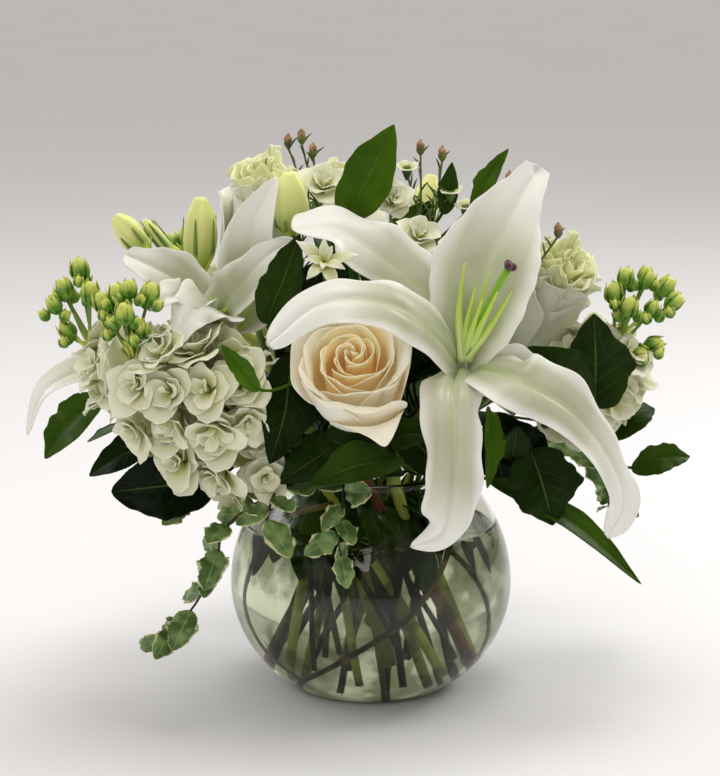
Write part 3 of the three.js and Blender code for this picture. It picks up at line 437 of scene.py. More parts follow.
class Finish:
    """A material and the node tree behind it."""

    def __init__(self, name, **shader):
        self.material = bpy.data.materials.new(name)
        self.material.use_nodes = True
        self.tree = self.material.node_tree
        self.shader = next(n for n in self.tree.nodes if n.type == "BSDF_PRINCIPLED")
        feed(self.tree, self.shader, {key.replace("_", " "): value for key, value in shader.items()})
        split = node(self.tree, "ShaderNodeSeparateXYZ", {0: self.read("marks", "Vector")})
        self.across, self.along, self.tone = split.outputs
        self.under = self.read("under", "Fac")
        self.place = node(self.tree, "ShaderNodeTexCoord", {}).outputs["Object"]

    def read(self, name, output):
        return node(self.tree, "ShaderNodeAttribute", {}, attribute_name=name).outputs[output]

    def math(self, operation, a, b=0.0):
        return node(self.tree, "ShaderNodeMath", {0: a, 1: b}, operation=operation).outputs[0]

    def times(self, a, b):
        return self.math("MULTIPLY", a, b)

    def plus(self, a, b):
        return self.math("ADD", a, b)

    def between(self, value, low, high):
        """0 where value is at low, 1 where it is at high, rounded between them."""
        inputs = {"Value": value, "From Min": low, "From Max": high}
        return node(self.tree, "ShaderNodeMapRange", inputs, interpolation_type="SMOOTHSTEP").outputs[0]

    def colours(self, share, first, second):
        """A blend of two colours. Of the node's many sockets, 6, 7 and 2 are the ones for colours."""
        inputs = {0: share, 6: first, 7: second}
        return node(self.tree, "ShaderNodeMix", inputs, data_type="RGBA").outputs[2]

    def mottle(self, size_mm, detail=3.0):
        """Soft spots about size_mm across, as a number round 0.5."""
        inputs = {"Vector": self.place, "Scale": every(size_mm), "Detail": detail}
        return node(self.tree, "ShaderNodeTexNoise", inputs).outputs["Fac"]

    def spots(self, size_mm, low, high, first, second):
        """Two colours in soft spots, blended where the noise runs from low to high."""
        return self.colours(self.between(self.mottle(size_mm), low, high), first, second)

    def bump(self, height, deep_mm, strength):
        """Fine relief, deep_mm high where height is 1."""
        inputs = {"Height": height, "Distance": deep_mm * MM, "Strength": strength}
        feed(self.tree, self.shader, {"Normal": node(self.tree, "ShaderNodeBump", inputs).outputs[0]})

    def veins(self, count):
        """Fine lines that run the length of a blade, with their places wavering a little."""
        sway = self.times(self.mottle(14), 0.12)
        place = self.times(self.plus(self.across, sway), count * math.pi)
        return self.times(self.plus(self.math("SINE", place), 1.0), 0.5)

    def ribs(self, count, share, size_mm, deep_mm, strength):
        """Relief of veins, which share weakens, together with fine spots."""
        lines = self.times(self.veins(count), share)
        self.bump(self.plus(lines, self.mottle(size_mm)), deep_mm, strength)

    def paint(self, colour):
        feed(self.tree, self.shader, {"Base Color": colour})
        return self.material


# How light spreads inside petals and leaves, with lengths in metres, and how clear bodies look
PETAL_LIGHT = {"Subsurface_Weight": 0.35, "Subsurface_Scale": 0.002,
               "Subsurface_Radius": (1.0, 0.98, 0.75)}
ROSE_LIGHT = {"Subsurface_Weight": 0.5, "Subsurface_Scale": 0.0012,
              "Subsurface_Radius": (1.0, 0.8, 0.5)}
LEAF_LIGHT = {"Subsurface_Weight": 0.1, "Subsurface_Scale": 0.001}
CLEAR = {"Transmission_Weight": 1.0, "Specular_IOR_Level": 0.3}


def lily_tepal():
    """Lily tepal: waxy cells over fleshy white tissue, so it shines softly. Its middle is painted a
    darker grey green as shade, and its edges and tip end are painted whiter as glow and highlight.
    """
    f = Finish("lily_tepal", Roughness=0.3, IOR=1.42, **PETAL_LIGHT)
    side = f.math("ABSOLUTE", f.across)
    # Painted glow and highlight: whiter towards the edges and towards the tip end
    painted_glow = f.math("MAXIMUM", f.between(side, 0.55, 1.0), f.between(f.along, 0.5, 0.85))
    # Painted shade: a darker grey green middle, in soft spots
    shaded_middle = f.spots(30, 0.35, 0.65, "b4b89c", "c6c8b2")
    white = f.colours(painted_glow, shaded_middle, "f3f3ea")
    rib = f.times(f.between(side, 0.22, 0.0), f.between(f.along, 0.95, 0.1))
    white = f.colours(f.times(rib, 0.6), white, "c6d196")
    throat = f.times(f.between(f.along, 0.3, 0.05), f.between(side, 0.8, 0.1))
    colour = f.colours(f.times(throat, 0.85), white, "b4cc68")
    f.ribs(11, 0.25, 3, 0.13, 0.45)
    return f.paint(colour)


def rose_petal():
    """Rose petal: velvety cells, cream at the rim and peach in the heart. The faint glow stands
    for the light that thin petals pass on to the ones behind them."""
    glow = {"Emission_Color": "ffdca0", "Emission_Strength": 0.04}
    velvet = {"Sheen_Weight": 0.1, "Sheen_Roughness": 0.5}
    f = Finish("rose_petal", Roughness=0.5, IOR=1.4, **velvet, **ROSE_LIGHT, **glow)
    heart = f.between(f.tone, 0.92, 0.45)
    deep = f.times(f.between(f.along, 1.0, 0.75), heart)
    pale = f.colours(heart, "fffcee", "ffeeb8")
    colour = f.colours(f.times(deep, 0.9), pale, "ffd484")
    rim = f.times(f.between(f.along, 0.88, 1.0), 0.7)
    colour = f.colours(rim, colour, "fffae4")
    colour = f.colours(f.times(f.mottle(9), 0.12), colour, "fff0b4")
    f.ribs(11, 0.3, 2, 0.08, 0.4)
    return f.paint(colour)


def lisianthus_petal():
    """Lisianthus petal: thin and satiny, white with lime green in the frills and at the foot."""
    f = Finish("lisianthus_petal", Roughness=0.42, IOR=1.4, **PETAL_LIGHT)
    inner = f.between(f.tone, 0.98, 0.5)
    rim = f.times(f.between(f.along, 0.4, 0.85), inner)
    foot = f.between(f.along, 0.3, 0.0)
    white = f.colours(f.between(f.along, 0.5, 1.0), "e9ebd0", "fdfcf0")
    colour = f.colours(f.times(rim, 0.85), white, "f1f4b8")
    colour = f.colours(f.times(foot, 0.7), colour, "b9cc6a")
    f.ribs(13, 0.4, 2, 0.1, 0.4)
    return f.paint(colour)


def stock_petal():
    """Stock petal: thin and crumpled, warm white with green yellow in each floret's eye. Each petal is
    painted darker and greener towards its foot as shade, and whiter towards its rim as glow.
    """
    f = Finish("stock_petal", Roughness=0.5, IOR=1.4, **PETAL_LIGHT)
    # Painted shade and glow: darker and greener at each petal's foot, whiter towards its rim
    white = f.colours(f.between(f.along, 0.35, 0.9), "d6da9e", "eeefd4")
    eye = f.times(f.between(f.along, 0.55, 0.1), f.between(f.tone, 1.1, 0.2))
    colour = f.colours(f.times(eye, 0.85), white, "c3d058")
    colour = f.colours(f.times(f.mottle(12), 0.25), colour, "e9e5bc")
    f.ribs(5, 0.3, 2.5, 0.12, 0.5)
    return f.paint(colour)


def lime_bud():
    """Lisianthus bud: closed petals, lime at the foot and pale cream green at the twisted tip."""
    f = Finish("lime_bud", Roughness=0.4, IOR=1.4, **PETAL_LIGHT)
    colour = f.colours(f.between(f.along, 0.0, 0.6), "a8c24c", "f1f3a4")
    colour = f.colours(f.times(f.mottle(7), 0.25), colour, "c3d85c")
    f.bump(f.plus(f.veins(6), f.mottle(1.5)), 0.12, 0.4)
    return f.paint(colour)


def stem_skin():
    """Cut flower stem: smooth waxy skin with fine lengthwise ribs. The tone runs to red brown. The
    lower part, in the water, is painted a brighter yellow green as painted light.
    """
    f = Finish("stem_skin", Roughness=0.38, IOR=1.42, Subsurface_Weight=0.15, Subsurface_Scale=0.002)
    patch = f.between(f.mottle(18), 0.3, 0.7)
    green = f.colours(patch, "5f7a30", "86a045")
    # Painted light: a brighter yellow green on the lower part, in the water, for light that reaches it
    # through the glass
    lit_underwater = f.colours(patch, "c8dc3c", "f2f688")
    green = f.colours(f.between(f.along, 0.4, 0.22), green, lit_underwater)
    brown = f.colours(patch, "86242e", "9a5440")
    f.bump(f.plus(f.veins(5), f.mottle(2)), 0.15, 0.5)
    return f.paint(f.colours(f.tone, green, brown))


def calyx_green():
    """Sepals and stock buds: matt bright green, paler and yellower towards the tips."""
    f = Finish("calyx_green", Roughness=0.5, IOR=1.4, Subsurface_Weight=0.2, Subsurface_Scale=0.002)
    base = f.spots(4, 0.35, 0.7, "4a7a1c", "7aa836")
    colour = f.colours(f.times(f.between(f.along, 0.45, 0.95), 0.85), base, "e6ee7c")
    f.bump(f.plus(f.veins(5), f.mottle(1)), 0.15, 0.6)
    return f.paint(colour)


def salal_leaf():
    """Salal leaf: thick leather with a waxy skin, sunken side veins and a paler under side."""
    f = Finish("salal_leaf", Roughness=0.36, IOR=1.45, Specular_IOR_Level=0.1)
    side = f.math("ABSOLUTE", f.across)
    slant = f.math("SUBTRACT", f.times(f.along, 7.0), f.times(side, 1.9))
    slant = f.plus(slant, f.times(f.mottle(20), 0.8))
    saw = f.math("ABSOLUTE", f.math("SUBTRACT", f.math("FRACT", slant), 0.5))
    vein = f.times(f.between(saw, 0.06, 0.0), f.between(side, 0.95, 0.4))
    rib = f.between(side, 0.05, 0.012)
    lines = f.math("MAXIMUM", f.times(vein, 0.35), rib)
    dark = f.spots(22, 0.3, 0.7, "020c01", "091b03")
    # The light green end of the tone, which the leaves in the water also take as painted light
    light_green = f.spots(22, 0.3, 0.7, "3d6206", "547a10")
    top = f.colours(f.tone, dark, light_green)
    top = f.colours(f.times(lines, 0.25), top, "7c9a48")
    colour = f.colours(f.between(f.under, 0.5, 0.9), top, "3a5a1e")
    swell = f.times(f.mottle(6, 2.0), 0.8)
    quilt = f.math("SUBTRACT", swell, f.times(lines, 0.6))
    f.bump(quilt, 0.5, 0.7)
    return f.paint(colour)


def pittosporum_leaf():
    """Variegated pittosporum: thin grey green leaf with a cream edge, and a dark twig."""
    f = Finish("pittosporum_leaf", Roughness=0.42, IOR=1.42, **LEAF_LIGHT)
    sway = f.times(f.math("SUBTRACT", f.mottle(5), 0.5), 0.9)
    side = f.plus(f.math("ABSOLUTE", f.across), sway)
    edge = f.between(side, 0.84, 0.95)
    middle = f.spots(8, 0.4, 0.65, "46652c", "7f9a5a")
    rib = f.between(f.math("ABSOLUTE", f.across), 0.07, 0.02)
    middle = f.colours(f.times(rib, 0.5), middle, "a3b472")
    leaf = f.colours(edge, middle, "c9cc98")
    f.bump(f.mottle(3), 0.3, 0.5)
    return f.paint(f.colours(f.tone, leaf, "2c2214"))


def lily_pistil():
    """Lily filaments and style: glassy lime green tissue, paler at the foot."""
    f = Finish("lily_pistil", Roughness=0.35, IOR=1.42, Subsurface_Weight=0.3, Subsurface_Scale=0.003)
    colour = f.colours(f.between(f.along, 0.0, 0.8), "e3efa4", "bcdc58")
    colour = f.colours(f.tone, colour, "7fb42c")
    f.bump(f.mottle(1.5), 0.1, 0.4)
    return f.paint(colour)


def lily_stigma():
    """Lily stigma: three velvety lobes of dark purple, sticky on top."""
    f = Finish("lily_stigma", Roughness=0.5, IOR=1.4, Sheen_Weight=0.4)
    colour = f.colours(f.mottle(1.5), "2c0a1c", "5a1c34")
    f.bump(f.mottle(0.6), 0.3, 0.8)
    return f.paint(colour)


def waxflower_wood():
    """Waxflower: wiry green stems, needle leaves and cups, with tan waxy buds."""
    f = Finish("waxflower_wood", Roughness=0.42, IOR=1.42, **LEAF_LIGHT)
    green = f.spots(9, 0.3, 0.7, "2f4a1a", "5c7a2c")
    ripe = f.spots(2, 0.35, 0.65, "7c5c3a", "bd986c")
    f.bump(f.mottle(1.2), 0.15, 0.5)
    return f.paint(f.colours(f.tone, green, ripe))


def twig_bark():
    """Young willow bark: smooth olive brown skin with small paler pores."""
    f = Finish("twig_bark", Roughness=0.5, IOR=1.45)
    pores = f.between(f.mottle(1.6, 1.0), 0.62, 0.72)
    bark = f.spots(20, 0.3, 0.7, "6e5a22", "968444")
    f.bump(f.plus(f.mottle(3), pores), 0.2, 0.6)
    return f.paint(f.colours(f.times(pores, 0.5), bark, "a39a68"))


def blown_glass():
    """Soda lime glass, blown in a mould: clear, fire polished, a breath of green at its edges. Its
    index is set near water's, because that keeps the studio's reflections from veiling the stems."""
    f = Finish("blown_glass", Roughness=0.0, IOR=1.34, **CLEAR)
    f.bump(f.mottle(40, 1.0), 0.4, 0.12)
    return f.paint("f1f4ec")


def still_water():
    """Tap water: clear with a faint yellow green, and painted shade in drifting darker olive patches,
    which stand for the dark leaves and shadow seen blurred through it.
    """
    f = Finish("still_water", Roughness=0.0, IOR=1.333, **CLEAR)
    # Painted shade: drifting darker olive patches on the water's surface
    painted_dark_patches = f.between(f.mottle(22, 3.0), 0.4, 0.58)
    f.bump(f.mottle(30, 1.0), 0.3, 0.1)
    return f.paint(f.colours(painted_dark_patches, "e6e9d6", "5c6340"))


def pale_table():
    """The studio table: matt white laminate, softly uneven."""
    f = Finish("pale_table", Roughness=0.6, IOR=1.45)
    return f.paint(f.colours(f.mottle(400), "efeff2", "f4f3f5"))


# Where the stems stand, as in the solids: a spiral from the feet in the water up through the neck.
# Each ring has a number of places, a radius in the neck, and a radius and a height of its feet.
SPIRAL = 100
NECK_Z = 113
RINGS = [(16, 34, 45, 13), (10, 22.5, 29, 11), (5, 10.5, 13.5, 10)]
# Stems are cut short by up to this share of their lower part
LONGEST_CUT = 0.2
# Shares of the upper part over which a stem runs straight on, and straight into its head
RISE_SHARE = 0.35
BEND_SHARE = 0.45
WATER_STEPS = 8
AIR_STEPS = 22


class Stem:
    """A stem from its foot through the neck to its head, which it meets along the axis."""

    def __init__(self, ring, slot, head, axis):
        slots, neck, foot, foot_z = RINGS[ring]
        angle = 360 * slot / slots
        self.neck = round_point(angle, neck, NECK_Z)
        cut = LONGEST_CUT * next(dice(7 * slot + ring + 3))
        self.foot = mix(round_point(angle + SPIRAL, foot, foot_z), self.neck, cut)
        top = np.asarray(head, float)
        span = np.linalg.norm(top - self.neck)
        self.knots = [
            self.neck,
            self.neck + unit(self.neck - self.foot) * span * RISE_SHARE,
            top - unit(axis) * span * BEND_SHARE,
            top,
        ]

    def at(self, t):
        """A place on the upper part, from 0 at the neck to 1 at the head."""
        t = np.asarray(t, float)[..., None]
        a, b, c, d = self.knots
        return a * (1 - t) ** 3 + 3 * b * t * (1 - t) ** 2 + 3 * c * t**2 * (1 - t) + d * t**3

    def low(self):
        return self.foot + np.outer(np.linspace(0, 1, WATER_STEPS), self.neck - self.foot)

    def path(self):
        return np.concatenate([self.low()[:-1], self.at(np.linspace(0, 1, AIR_STEPS))])


def stalk_piece(name, stalk):
    piece(f"{name}_stalk", stalk, STEM_SKIN, "stem_green", f"{name}_stem")


# Lilies. A tepal's spine starts at a share called sunk of the way from the flower's foot to its
# first point, and runs through its own points. The mouth is where the tepals part.
# Radii of its parts in millimetres, and where the stigma's three lobes sit
LILY_STALK = 3.2
LILY_THROAT = [3, 4.6, 5.4, 3.5]
LILY_STYLE = [1.2, 1.9, 1.8, 1.6, 1.9]
LILY_FILAMENT = [2.4, 2.0, 1.2, 0.4]
STIGMA_RADIUS = 2.1
STIGMA_OUT = 1.7
STIGMA_RISE = 2.2


def tepal(spine, half, face, cup=0.22, **bends):
    """A lily's petal: its spine, half widths and facing, and how its blade bends."""
    return spine, half, face, {"cup": cup, **bends}


LILY_1 = {
    "sunk": 0.6,
    "foot": [36, -72, 176],
    "tepals": [
        tepal([[44, -92, 198], [51, -95, 223], [59, -90, 247], [70, -80, 268], [82, -68, 285]],
              [2, 12, 21.5, 25.5, 20.5, 11.5, 6.5], [-0.1, -1, 0.25], wave=0.045, waves=3.6,
              valley=0.3, cup=0.34, phase=0.5, tip=0.012, hump=0.06, dip=5),
        tepal([[41, -90, 199], [27, -92, 224], [5, -86, 243], [-18, -84, 256], [-39, -92, 257]],
              [2, 8, 13, 14, 17, 15, 5], [[-0.2, -1, 0.3], [0, -0.8, 0.6], [0, -0.4, 0.9]], wave=0.15,
              waves=2.1, valley=0.2, phase=1.2, hump=0.04, cup=0.1),
        tepal([[41, -98, 192], [27, -118, 213], [4, -132, 228], [-24, -137, 228], [-50, -131, 207]],
              [2, 8, 13, 15.5, 14, 11, 6], [[0.1, -0.9, 0.5], [0, -0.7, 0.75], [-0.3, -0.8, 0.6]],
              wave=0.08, waves=2.1, valley=0.22, phase=2.2, hump=0.05, cup=-0.12, fade=0.3),
        tepal([[40, -101, 189], [38, -126, 181], [38, -138, 158], [37, -141, 135], [33, -139, 118],
               [18, -131, 109]],
              [3, 9, 14, 14.5, 13, 12, 8, 1.2], [[0, -0.5, 0.9], [0, -1, 0.4], [-0.2, -1, 0]],
              wave=0.15, waves=2.3, valley=0.6, phase=3.4, cup=-0.3, hump=0.12, fade=0.8, tip=0.04),
        tepal([[52, -99, 190], [69, -117, 188], [92, -114, 175], [114, -102, 149], [124, -94, 122],
               [117, -92, 103]],
              [2, 12, 17, 17.5, 15, 12, 10.5, 10, 4], [[0.3, -0.8, 0.6], [0.7, -0.8, 0.3]], wave=0.13,
              waves=2.4, valley=0.22, phase=4.4, hump=0.05, cup=0.02),
        tepal([[49, -92, 186], [66, -99, 187], [84, -92, 181], [97, -80, 166]],
              [2, 9, 14, 13, 8, 2], [[0.2, -0.9, 0.5], [0.5, -0.8, 0.5]], wave=0.08, waves=2.0,
              valley=0.3, phase=5.1),
    ],
    "mouth": [44, -95, 190],
    "style": [[45, -98, 194], [50, -112, 214], [64, -118, 241]],
    "filaments": [[44, -110, 243], [49, -114, 232], [52, -121, 227], [59, -123, 231], [66, -117, 230],
                  [56, -108, 238]],
    "stem": (0, 1),
}
LILY_2 = {
    "sunk": 0.45,
    "foot": [-74, -44, 190],
    "tepals": [
        tepal([[-61, -56, 214], [-62, -62, 232], [-59, -64, 254], [-47, -58, 279]],
              [4, 12, 14, 14, 9.5, 1.5], [-0.1, -1, 0.2], cup=0.3, valley=0.15, hump=0.03),
        tepal([[-84, -56, 214], [-94, -60, 226], [-108, -60, 234], [-123, -57, 240]],
              [2, 8, 12, 12, 9, 4], [[0, -0.9, 0.3], [-0.2, -0.9, 0.6]], cup=0.3, wave=0.1, valley=0.3,
              hump=0.08),
        tepal([[-84, -50, 200], [-112, -46, 186], [-140, -46, 182], [-165, -48, 170],
               [-175, -50, 146]],
              [2, 8, 9, 9, 8, 6, 2], [[-0.2, -0.8, 0.6], [-0.9, -0.6, 0.2]], cup=0.3, valley=0.4,
              hump=0.08),
        tepal([[-84, -66, 208], [-90, -84, 219], [-98, -93, 224], [-108, -98, 218]],
              [2, 8, 10, 10, 8, 4], [[0, -0.6, 0.8], [-0.5, -0.7, 0.6]], cup=0.35, wave=0.16,
              valley=0.5, hump=0.12),
        tepal([[-75, -60, 213], [-66, -74, 226], [-54, -78, 240], [-38, -76, 250]],
              [2, 10, 12, 10, 7, 2], [[0, -0.9, 0.5], [0.1, -0.9, 0.4]], cup=0.2, wave=0.12,
              valley=0.2, hump=0.05),
        tepal([[-76, -60, 202], [-76, -79, 214], [-82, -93, 220], [-90, -101, 214], [-96, -104, 202]],
              [2, 8, 12, 13, 9, 3], [[0.1, -0.9, 0.6], [0, -0.8, 0.8], [-0.3, -1, 0.2]], cup=0.1,
              wave=0.2, valley=0.4, hump=0.06),
    ],
    "mouth": [-80, -56, 204],
    "style": [[-80, -61, 208], [-79, -74, 210], [-79, -88, 213]],
    "filaments": [[-79, -82, 222], [-71, -82, 217], [-73, -86, 210], [-84, -82, 217]],
    "stem": (1, 8),
}


def lily(name, flower):
    """Tepals, a style among its filaments, a stigma of three lobes, and the stalk."""
    tepals = Shape()
    foot = np.array(flower["foot"], float)
    for spine, half, face, bends in flower["tepals"]:
        root = mix(foot, np.array(spine[0], float), flower["sunk"])
        blade(tepals, [root] + spine, half, face, rows=62, cols=22, thick=0.6, **bends)
    mouth = np.array(flower["mouth"], float)
    bud(tepals, mouth, foot - mouth, np.linalg.norm(foot - mouth) * 1.05, LILY_THROAT)
    piece(f"{name}_tepals", tepals, LILY_TEPAL, "petal_white", f"{name}_petals")

    heart = Shape()
    start, middle, tip = (np.array(p, float) for p in flower["style"])
    t = np.linspace(0, 1, 16)[:, None]
    style = start * (1 - t) ** 2 + 2 * middle * t * (1 - t) + tip * t**2
    tube(heart, style, smooth(LILY_STYLE, t[:, 0]), sides=12, tone=1.0)
    for k, goal in enumerate(flower["filaments"]):
        goal = np.array(goal, float)
        root = start + 1.6 * unit(np.cross(goal - start, middle - start)) * (k % 3 - 1)
        bow = mix(root, goal, 0.5) + 0.1 * (goal - tip) - UP * 0.6
        tube(heart, curve([root, bow, goal], 16), smooth(LILY_FILAMENT, t[:, 0]), sides=8)
    piece(f"{name}_pistil", heart, LILY_PISTIL, "stamen_green", f"{name}_stamens")

    head = Shape()
    way = unit(tip - middle)
    place = pose(tip + way * STIGMA_RISE, way)
    for k in range(3):
        centre = place([STIGMA_OUT * math.cos(2.1 * k), STIGMA_OUT * math.sin(2.1 * k), 0])
        ball(head, centre, STIGMA_RADIUS)
    piece(f"{name}_stigma_head", head, LILY_STIGMA, "stigma_purple", f"{name}_stigma")

    stalk = Shape()
    stem = Stem(*flower["stem"], foot, mouth - foot)
    tube(stalk, stem.path(), LILY_STALK, sides=12)
    stalk_piece(name, stalk)


# Blooms of nested petals, given by a few key petals from the heart outwards
PETAL_KEYS = ("foot", "rise", "length", "lean", "half", "tuck", "dome", "ruffle", "ripples", "fold")


def key_petal(*values):
    """A petal's form, with its values in the order of the keys above."""
    return dict(zip(PETAL_KEYS, values))


ROSE_FORMS = [
    key_petal(0.8, 11, 29, [6, 3, 0, -2, 4], [2.5, 5, 6.5, 6, 4], 1.7, 0.08, 0.0, 1.0, 0.2),
    key_petal(2, 9, 30, [26, 8, 0, -3, 10], [3, 9, 11, 11, 8], 2.3, 0.12, 0.2, 1.0, 0.6),
    key_petal(3, 6, 33, [46, 18, 3, -3, 24], [4, 13, 17, 17, 13], 2.6, 0.18, 0.5, 1.2, 1.0),
    key_petal(4, 2, 39, [60, 30, 6, 0, 36], [6, 17, 22, 23, 18], 2.6, 0.24, 0.9, 1.5, 2.4),
    key_petal(5, -1, 48, [70, 44, 10, 2, 84], [8, 20, 26, 26, 19], 2.4, 0.32, 1.4, 2.0, 3.6),
]
LISIANTHUS_FORMS = [
    key_petal(1.5, 14, 50, [8, 2, 0, 4, 16], [3, 7, 9, 13, 14], 1, 0.2, 3.4, 2.6, 0.0),
    key_petal(3, 8, 49, [34, 16, 2, 10, 46], [4, 12, 17, 19, 19], 1.4, 0.24, 3.4, 2.6, 0.3),
    key_petal(4, 0, 50, [84, 34, 0, -2, 36], [6, 17, 22, 23, 19], 1.8, 0.24, 2.0, 2.2, 0.8),
]
FLORET_FORMS = [
    key_petal(0.6, 4, 11, [0, 14, 40], [1.8, 4, 6.5, 7.5, 7], 0.8, 0.35, 1.2, 1.4, 0.0),
    key_petal(1.0, 2, 15.5, [20, 38, 62], [2, 6, 10, 11.5, 10.5], 1.1, 0.4, 1.7, 1.3, 0.0),
    key_petal(1.2, 0, 19, [40, 66, 92], [2, 7, 12, 14, 12.5], 1.2, 0.42, 2.1, 1.3, 0.0),
]
STAR_FORMS = [
    key_petal(0.6, 3, 12, [10, 40, 80], [1, 1.8, 2.2, 1.6, 0.5], 0.1, 0.3, 0.4, 1.0, 0.0),
    key_petal(1.2, 0, 22, [30, 70, 130], [1.4, 3, 4, 3.2, 0.8], 0.2, 0.35, 0.7, 1.2, 0.0),
]
CUP_FORM = key_petal(1.5, 0, 5.5, [60, 75, 60], [1, 2.6, 3, 2], 0, 0.25, 0.2, 1.0, 0.0)
# The one petal of each rose that falls out of the cup, and the way it falls
ROSE_FALL = key_petal(6, -3, 58, [70, 46, 20, 48, 100], [7, 17, 20, 17, 10], 2.4, 0.5, 1.2, 1.3, 0.0)
ROSE_FALL_TURN = -2
ROSE_SIZE = 1.26
LISIANTHUS_SIZE = 1.06
# How far below its place a bloom's stem ends
FLOWER_BACK = 5.5
ROSE_STALK = 2.6
ROSE_HIP = [2.6, 4.5, 6, 5]
ROSE_SEPAL = [2, 3, 0.5]
# The lower part of a rose's stem is brown, up to this step of its path
ROSE_BROWN_STEPS = 16
LISIANTHUS_STALK = 1.9
LISIANTHUS_BRANCH = 1.3
LISIANTHUS_SEPAL = [1.2, 1.3, 0.9, 0.3]
OPEN_SEPAL = 4.5
CLOSED_SEPAL = 0.6
BUD_SHARES = (0.4, 0.85, 1.0, 0.98, 0.8, 0.36)
# Each rose has a place, an axis, a turn about it, and its stem's ring and place in the ring
ROSES = [
    ("rose_1", [-8, -86, 169], [-0.04, -0.72, 0.69], 20, (0, 0)),
    ("rose_2", [44, 78, 186], [0.3, 0.8, 0.5], 75, (0, 7)),
]
# Each lisianthus has the same and its buds: foot, tip, radius, twist, and how far its sepals reach
LISIANTHUS = [
    ("lisianthus_1", [-59, -24, 221], [0.1, -0.05, 1], 10, (1, 7), [
        ([-116, -14, 235], [-132, -14, 254], 6.5, 3, 0.6),
        ([-88, -26, 227], [-87, -28, 265], 8, -2, 0.75),
        ([-101, -6, 230], [-118, -6, 251], 3.4, 2, 0.9),
        ([-39, -46, 249], [-41, -50, 280], 8.5, 2, 0.3),
    ]),
    ("lisianthus_2", [80, -6, 182], [0.36, -0.3, 0.88], 60, (1, 3), [
        ([106, 34, 196], [116, 44, 227], 7, 2, 0.7),
    ]),
    ("lisianthus_3", [-8, 62, 214], [-0.1, 0.55, 0.85], 130, (1, 5), [
        ([26, 66, 232], [34, 74, 266], 7, 2, 0.7),
    ]),
]


def rose(name, at, axis, roll, where):
    """A spiral of petals with one that falls out, and a stalk that ends in a hip with sepals."""
    bloom = Shape()
    heart = pose(at, axis, roll)
    rosette(bloom, heart, ROSE_FORMS, count=28, ease=0.8, seed=3, rows=14, cols=18, wild=0.09,
            size=ROSE_SIZE)
    petal(bloom, heart, ROSE_FALL, ROSE_FALL_TURN, phase=0.4, tone=1.0, rows=18, cols=20)
    piece(f"{name}_bloom", bloom, ROSE_PETAL, "petal_cream", f"{name}_petals")
    stalk = Shape()
    under = np.asarray(at, float) - unit(axis) * FLOWER_BACK
    stem = Stem(*where, under, axis)
    tube(stalk, stem.path()[:ROSE_BROWN_STEPS], ROSE_STALK, sides=12, tone=0.9)
    tube(stalk, stem.path()[ROSE_BROWN_STEPS - 1 :], ROSE_STALK, sides=12, tone=0.2)
    place = pose(under, axis, roll)
    bud(stalk, under - unit(axis) * 9, axis, 10, ROSE_HIP)
    for k in range(5):
        out = round_point(72 * k, 1, 0)
        spine = place(np.array([out * 4 - UP * 1, out * 11 + UP * 1, out * 19 - UP * 1]))
        blade(stalk, spine, ROSE_SEPAL, place(UP) - under, rows=12, cols=6, cup=0.3, thick=0.6)
    stalk_piece(name, stalk)


def lisianthus(name, at, axis, roll, where, buds):
    """Ruffled petals, and a stalk whose branches carry twisted buds, each held by five sepals."""
    bloom = Shape()
    rosette(bloom, pose(at, axis, roll), LISIANTHUS_FORMS, count=22, ease=0.8, seed=5, rows=14,
            cols=24, wild=0.16, size=LISIANTHUS_SIZE)
    piece(f"{name}_bloom", bloom, LISIANTHUS_PETAL, "petal_green_white", f"{name}_petals")
    stalk = Shape()
    closed = Shape()
    stem = Stem(*where, at, axis)
    tube(stalk, stem.path(), LISIANTHUS_STALK)
    for i, (start, tip, fat, twist, wrap) in enumerate(buds):
        branch = stem.at(0.55 + 0.1 * i)
        start, tip = np.array(start, float), np.array(tip, float)
        bow = mix(branch, start, 0.6) - UP * 5
        way = tip - start
        tube(stalk, curve([branch, bow, start], 12), LISIANTHUS_BRANCH, sides=8)
        length = np.linalg.norm(way)
        outline = [fat * share for share in BUD_SHARES]
        bud(closed, start, way, length, outline, sides=25, flutes=(5, 0.13, twist), steps=26)
        place = pose(start, way, 30 * i)
        for k in range(5):
            out = round_point(72 * k + 30, 1, 0)
            flare = OPEN_SEPAL if k == 1 else CLOSED_SEPAL
            knees = [(0.4, -0.03), (1.0, 0.33 * wrap), (1.04, 0.67 * wrap), (0.95, wrap)]
            lines = [out * (fat * share + flare * z * z + 0.3) + UP * length * z for share, z in knees]
            blade(stalk, place(np.array(lines)), LISIANTHUS_SEPAL, place(out) - start, rows=16,
                  cols=4, cup=-0.5, thick=0.5)
    stalk_piece(name, stalk)
    piece(f"{name}_buds", closed, LIME_BUD, "petal_green_white", f"{name}_stem")


# Stock. A head's florets sit round its axis from foot to tip, and its buds crown the tip. Each head
# has its foot, tip and crown, a count of florets and their distance from the axis, its stem's ring
# and place in it, and its buds, which hang BUD_DROP below the places given here.
BUD_DROP = 5
# This many fine florets stand for one floret of the plain solids
FINER_FLORETS = 2.3
FLORET_SIZES = (0.74, 1.04)
